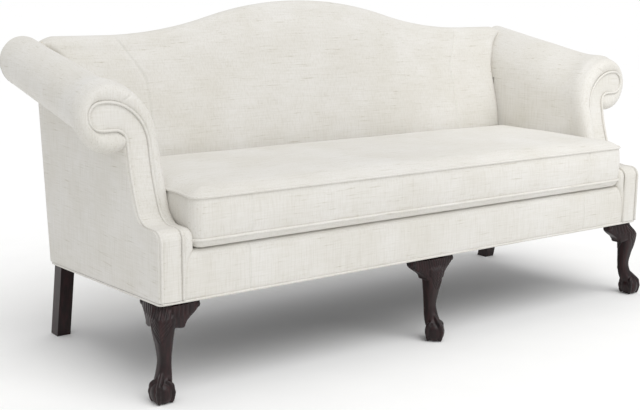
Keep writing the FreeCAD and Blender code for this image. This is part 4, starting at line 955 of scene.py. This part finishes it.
# Front legs: cabriole legs carved from mahogany, with a fluted knee, a ball and four claws.
# The ears beside each knee are glued on and carved with it, a boss at each end. Stained nearly black and
# lacquered: red shows in the light, and the pores, 0.3 mm wide, are drawn 1 mm wide.
mahogany, tree, place = new_material("lacquered_mahogany")
figure_map = add_node(tree, "ShaderNodeMapping", {"Vector": place, "Scale": [90.0, 90.0, 4.0]})
figure = add_node(tree, "ShaderNodeTexNoise", {"Vector": figure_map, "Scale": 1.0, "Detail": 5.0, "Roughness": 0.65})
pores_map = add_node(tree, "ShaderNodeMapping", {"Vector": place, "Scale": [900.0, 900.0, 30.0]})
pores = add_node(tree, "ShaderNodeTexNoise", {"Vector": pores_map, "Scale": 1.0, "Detail": 2.0})
tone = add_node(tree, "ShaderNodeValToRGB", {"Fac": figure}, [(0.3, "#100808"), (0.5, "#1F0F10"), (0.72, "#34191A")])
relief = add_node(tree, "ShaderNodeMath", {0: figure, 1: pores}, operation="ADD")
bump = add_node(tree, "ShaderNodeBump", {"Height": relief, "Strength": 0.15, "Distance": 0.0004})
wood = add_node(tree, "ShaderNodeBsdfPrincipled", {
    "Base Color": tone, "Roughness": 0.4, "Normal": bump,
    "Specular IOR Level": 0.25, "Coat Weight": 0.14, "Coat Roughness": 0.1,
})
add_node(tree, "ShaderNodeOutputMaterial", {"Surface": wood})
ball_radius, ball_height = 29.0, 28.0
upwards = Vector((0.0, 0.0, 1.0))


def add_rings(mesh, rings):
    """A closed body through rings of points, capped at both ends."""
    grid = [[mesh.verts.new(point) for point in ring] for ring in rings]
    for low, high in zip(grid, grid[1:]):
        for j in range(len(low)):
            k = (j + 1) % len(low)
            mesh.faces.new((low[j], low[k], high[k], high[j]))
    mesh.faces.new(list(reversed(grid[0])))
    mesh.faces.new(grid[-1])


def soft_square(x, y, width, height):
    """A square section with well-rounded corners."""
    ring, roundness = [], 3.4
    for a in turns(40):
        c, s = cos(a), sin(a)
        reach = width / 2 / (abs(c) ** roundness + abs(s) ** roundness) ** (1 / roundness)
        ring.append(Vector((x + reach * c, y + reach * s, height)))
    return ring


def add_toe(mesh, foot, heading, ankle):
    """One toe: a tendon down from the ankle, three knuckles over the ball and a hooked claw."""
    run = [(*(ankle + heading * reach + upwards * height), thick) for reach, height, thick in (
        (8.0, 108.0, 4.5), (11.0, 84.0, 6.5))]
    run += [(*(foot + heading * reach + upwards * height), thick) for reach, height, thick in (
        (12.4, 56.0, 8.6), (19.3, 51.0, 7.6), (23.9, 44.0, 9.2), (26.6, 36.0, 7.4), (27.6, 28.0, 8.4),
        (27.4, 20.5, 7.0), (26.4, 13.5, 6.6), (24.6, 7.0, 5.8), (22.5, 2.5, 4.2),
    )]
    run = smooth_run(run, 46)
    sideways = heading.cross(upwards)
    rings = []
    for i, (x, y, z, thick) in enumerate(run):
        before, after = Vector(run[max(0, i - 1)][:3]), Vector(run[min(len(run) - 1, i + 1)][:3])
        over = sideways.cross((after - before).normalized())
        rings.append([Vector((x, y, z)) + thick * (0.85 * cos(a) * sideways + sin(a) * over)
                      for a in turns(14)])
    add_rings(mesh, rings)


boss_reach, boss_drop = 40.5, 11.5


def add_ear(mesh, start, along, inward, proud):
    """An ear beside the knee: a bracket that flows out of it, with a rounded end and a notched foot."""
    rings = []
    for reach, bottom, share in (
        (-36.0, -58.0, 1.0), (-16.0, -63.0, 0.9), (-8.0, -64.5, 0.8), (-1.0, -64.0, 0.7), (1.0, -58.0, 0.68),
        (4.0, -53.0, 0.62), (9.0, -47.5, 0.54), (16.0, -42.5, 0.42), (24.0, -37.5, 0.28), (32.0, -32.5, 0.16),
        (39.0, -27.5, 0.06), (44.5, -22.0, 0.0), (48.0, -15.0, 0.0), (50.0, -6.0, 0.0),
    ):
        narrow = 6.0 if reach > 49.0 else (2.5 if reach > 47.0 else 0.0)
        near, far, top = -proud * share + narrow, 29.0 - narrow, 7.6
        low = bottom + narrow * 0.3
        section = [
            (near + 9.0, low), (near + 3.5, low + 1.5), (near + 0.8, low + 5.0), (near, low + 10.0),
            (near * 0.9, 0.5 * (low - 4.0)), (near * 0.5 + 0.5, -5.0), (1.0 + narrow, -0.5), (2.0 + narrow, top),
            (far, top), (far, low + 3.0), (far - 3.0, low),
        ]
        rings.append([start + along * reach + inward * depth + upwards * (hem_height + rise)
                      for depth, rise in section])
    add_rings(mesh, rings)
    rings = []
    for depth, radius in ((-3.4, 4.0), (-2.2, 6.8), (0.5, 8.4), (12.0, 9.0), (24.0, 8.0)):
        rings.append([start + along * (boss_reach + radius * cos(a)) + inward * depth
                      + upwards * (hem_height - boss_drop + radius * sin(a)) for a in turns(24)])
    add_rings(mesh, rings)


def carve_leg(point, foot, outward, sideways, ears):
    """How deep the carver's tool goes at a place on the knee; raised work is negative."""
    local = point - foot
    ahead, height = local.dot(outward), point.z
    depth = 0.0
    if height > 150.0 and ahead > -62.0:
        spread = local.dot(sideways)
        fan = spread / (1.0 + max(0.0, 215.0 - height) * 0.012)
        flutes = 0.5 - 0.5 * cos(2 * pi * fan / 8.2)
        fluted = clamp((height - 208.0) / 10.0) * clamp((249.0 - height) / 4.0)
        depth += 2.4 * (1.0 - flutes) ** 2 * fluted * max(0.0, 1.0 - abs(spread) / 76.0) ** 0.4
        leaf_half = 27.0 * clamp((height - 152.0) / 46.0) ** 0.8
        if leaf_half > 1.0 and abs(spread) < leaf_half + 3.0:
            rim = ridge(abs(spread) - leaf_half, 1.7)
            veins = 0.5 - 0.5 * cos(2 * pi * (height - 1.3 * abs(spread)) / 10.5)
            stem = ridge(spread, 2.0)
            veined = veins * (1.0 - stem) * min(1.0, (leaf_half - abs(spread) + 3.0) / 6.0)
            depth += clamp((214.0 - height) / 8.0) * (1.5 * rim + 1.3 * veined - 0.7 * stem)
    for start, along, inward in ears:
        away = point - start
        reach, rise = away.dot(along), height - hem_height
        from_boss = hypot(reach - boss_reach, rise + boss_drop)
        if away.dot(inward) < 6.0 and from_boss < 12.0:
            spiral = 0.6 * atan2(rise + boss_drop, reach - boss_reach)
            depth += 1.3 * ridge(from_boss - 5.0 - spiral, 1.2)
        elif 0.0 < reach < 34.0 and away.dot(inward) < 6.0:
            depth += 1.4 * ridge(rise + 50.0 - 0.78 * reach, 1.6)
    return depth


def carved_leg(name, foot, outward, block_x, ears, proud):
    """The whole leg in millimetres, fused from its bodies, then carved and set in its place."""
    top = Vector((block_x, 40.0, 0.0))
    sideways = Vector((-outward.y, outward.x, 0.0))
    mesh = bmesh.new()
    stations = [(*(foot - outward * back), width, height) for back, width, height in (
        (0.0, 36.0, ball_height), (7.0, 42.0, 48.0), (17.5, 37.0, 70.0), (24.5, 32.5, 102.0), (22.5, 39.0, 137.0),
        (19.5, 47.0, 165.0), (18.5, 54.0, 190.0), (22.0, 59.0, 212.0),
    )]
    stations += [(*top.lerp(foot, 0.12), 62.0, 235.0), (*top, 62.0, 254.0)]
    add_rings(mesh, [soft_square(x, y, width, height) for x, y, _, width, height in smooth_run(stations, 60)])
    rings = []
    for climb in steps(-85.0, 85.0, 24):
        a = radians(climb)
        wide = ball_radius * cos(a) ** (0.5 if climb < 0.0 else 1.0)
        rings.append([foot + Vector((wide * cos(t), wide * sin(t), ball_height * (1.0 + sin(a))))
                      for t in turns(36)])
    add_rings(mesh, rings)
    for heading in (outward, -outward, sideways, -sideways):
        add_toe(mesh, foot, heading, foot - outward * 25.0)
    for start, along, inward in ears:
        add_ear(mesh, start, along, inward, proud)
    bmesh.ops.recalc_face_normals(mesh, faces=mesh.faces[:])
    data = bpy.data.meshes.new(name)
    mesh.to_mesh(data)
    mesh.free()
    leg = add_object(name, data)
    fuse = leg.modifiers.new("fuse", "REMESH")
    fuse.mode, fuse.voxel_size, fuse.use_smooth_shade = "VOXEL", 1.5, True
    ease = leg.modifiers.new("ease", "SMOOTH")
    ease.factor, ease.iterations = 0.5, 3
    bpy.context.view_layer.update()
    fused = bpy.data.meshes.new_from_object(leg.evaluated_get(bpy.context.evaluated_depsgraph_get()))
    leg.modifiers.clear()
    normals = [vertex.normal.copy() for vertex in fused.vertices]
    for vertex, normal in zip(fused.vertices, normals):
        point = vertex.co - normal * carve_leg(vertex.co, foot, outward, sideways, ears)
        vertex.co = spot(point.x, point.y, max(0.0, min(point.z, hem_at(point.y) + 7.2)))
    leg.data = fused
    fused.materials.append(mahogany)
    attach(leg, "sofa")
    return leg


diagonal = sqrt(0.5)
foot_x, foot_depth, ear_depth = 900.0 - 7.0 * diagonal, 7.0 * diagonal, 9.0
forwards, across_x, inwards = Vector((0.0, -1.0, 0.0)), Vector((1.0, 0.0, 0.0)), Vector((0.0, 1.0, 0.0))
centre_ears = [(Vector((side * 31.0, ear_depth, 0.0)), side * across_x, inwards) for side, _ in sides]
leg_plans = [("centre", Vector((0.0, -7.0, 0.0)), forwards, 0.0, centre_ears, 22.0)]
for side, word in sides:
    leg_plans.append((
        word, Vector((side * foot_x, foot_depth, 0.0)), Vector((side * diagonal, -diagonal, 0.0)), side * 860.0,
        [(Vector((side * 829.0, ear_depth, 0.0)), -side * across_x, inwards),
         (Vector((side * 891.0, 71.0, 0.0)), inwards, -side * across_x)], 16.0))
for word, foot, outward, block_x, ears, proud in leg_plans:
    leg = carved_leg("carved_leg_" + word, foot, outward, block_x, ears, proud)
    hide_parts("front_leg_" + word, "knee_brackets_" + word)


# Rear legs: plain square legs of the same mahogany, raked back with the posts above them.
# Each is bolted up under its back post, with no carving and no ears.
for _, word in sides:
    finish_node("rear_leg_" + word, mahogany)
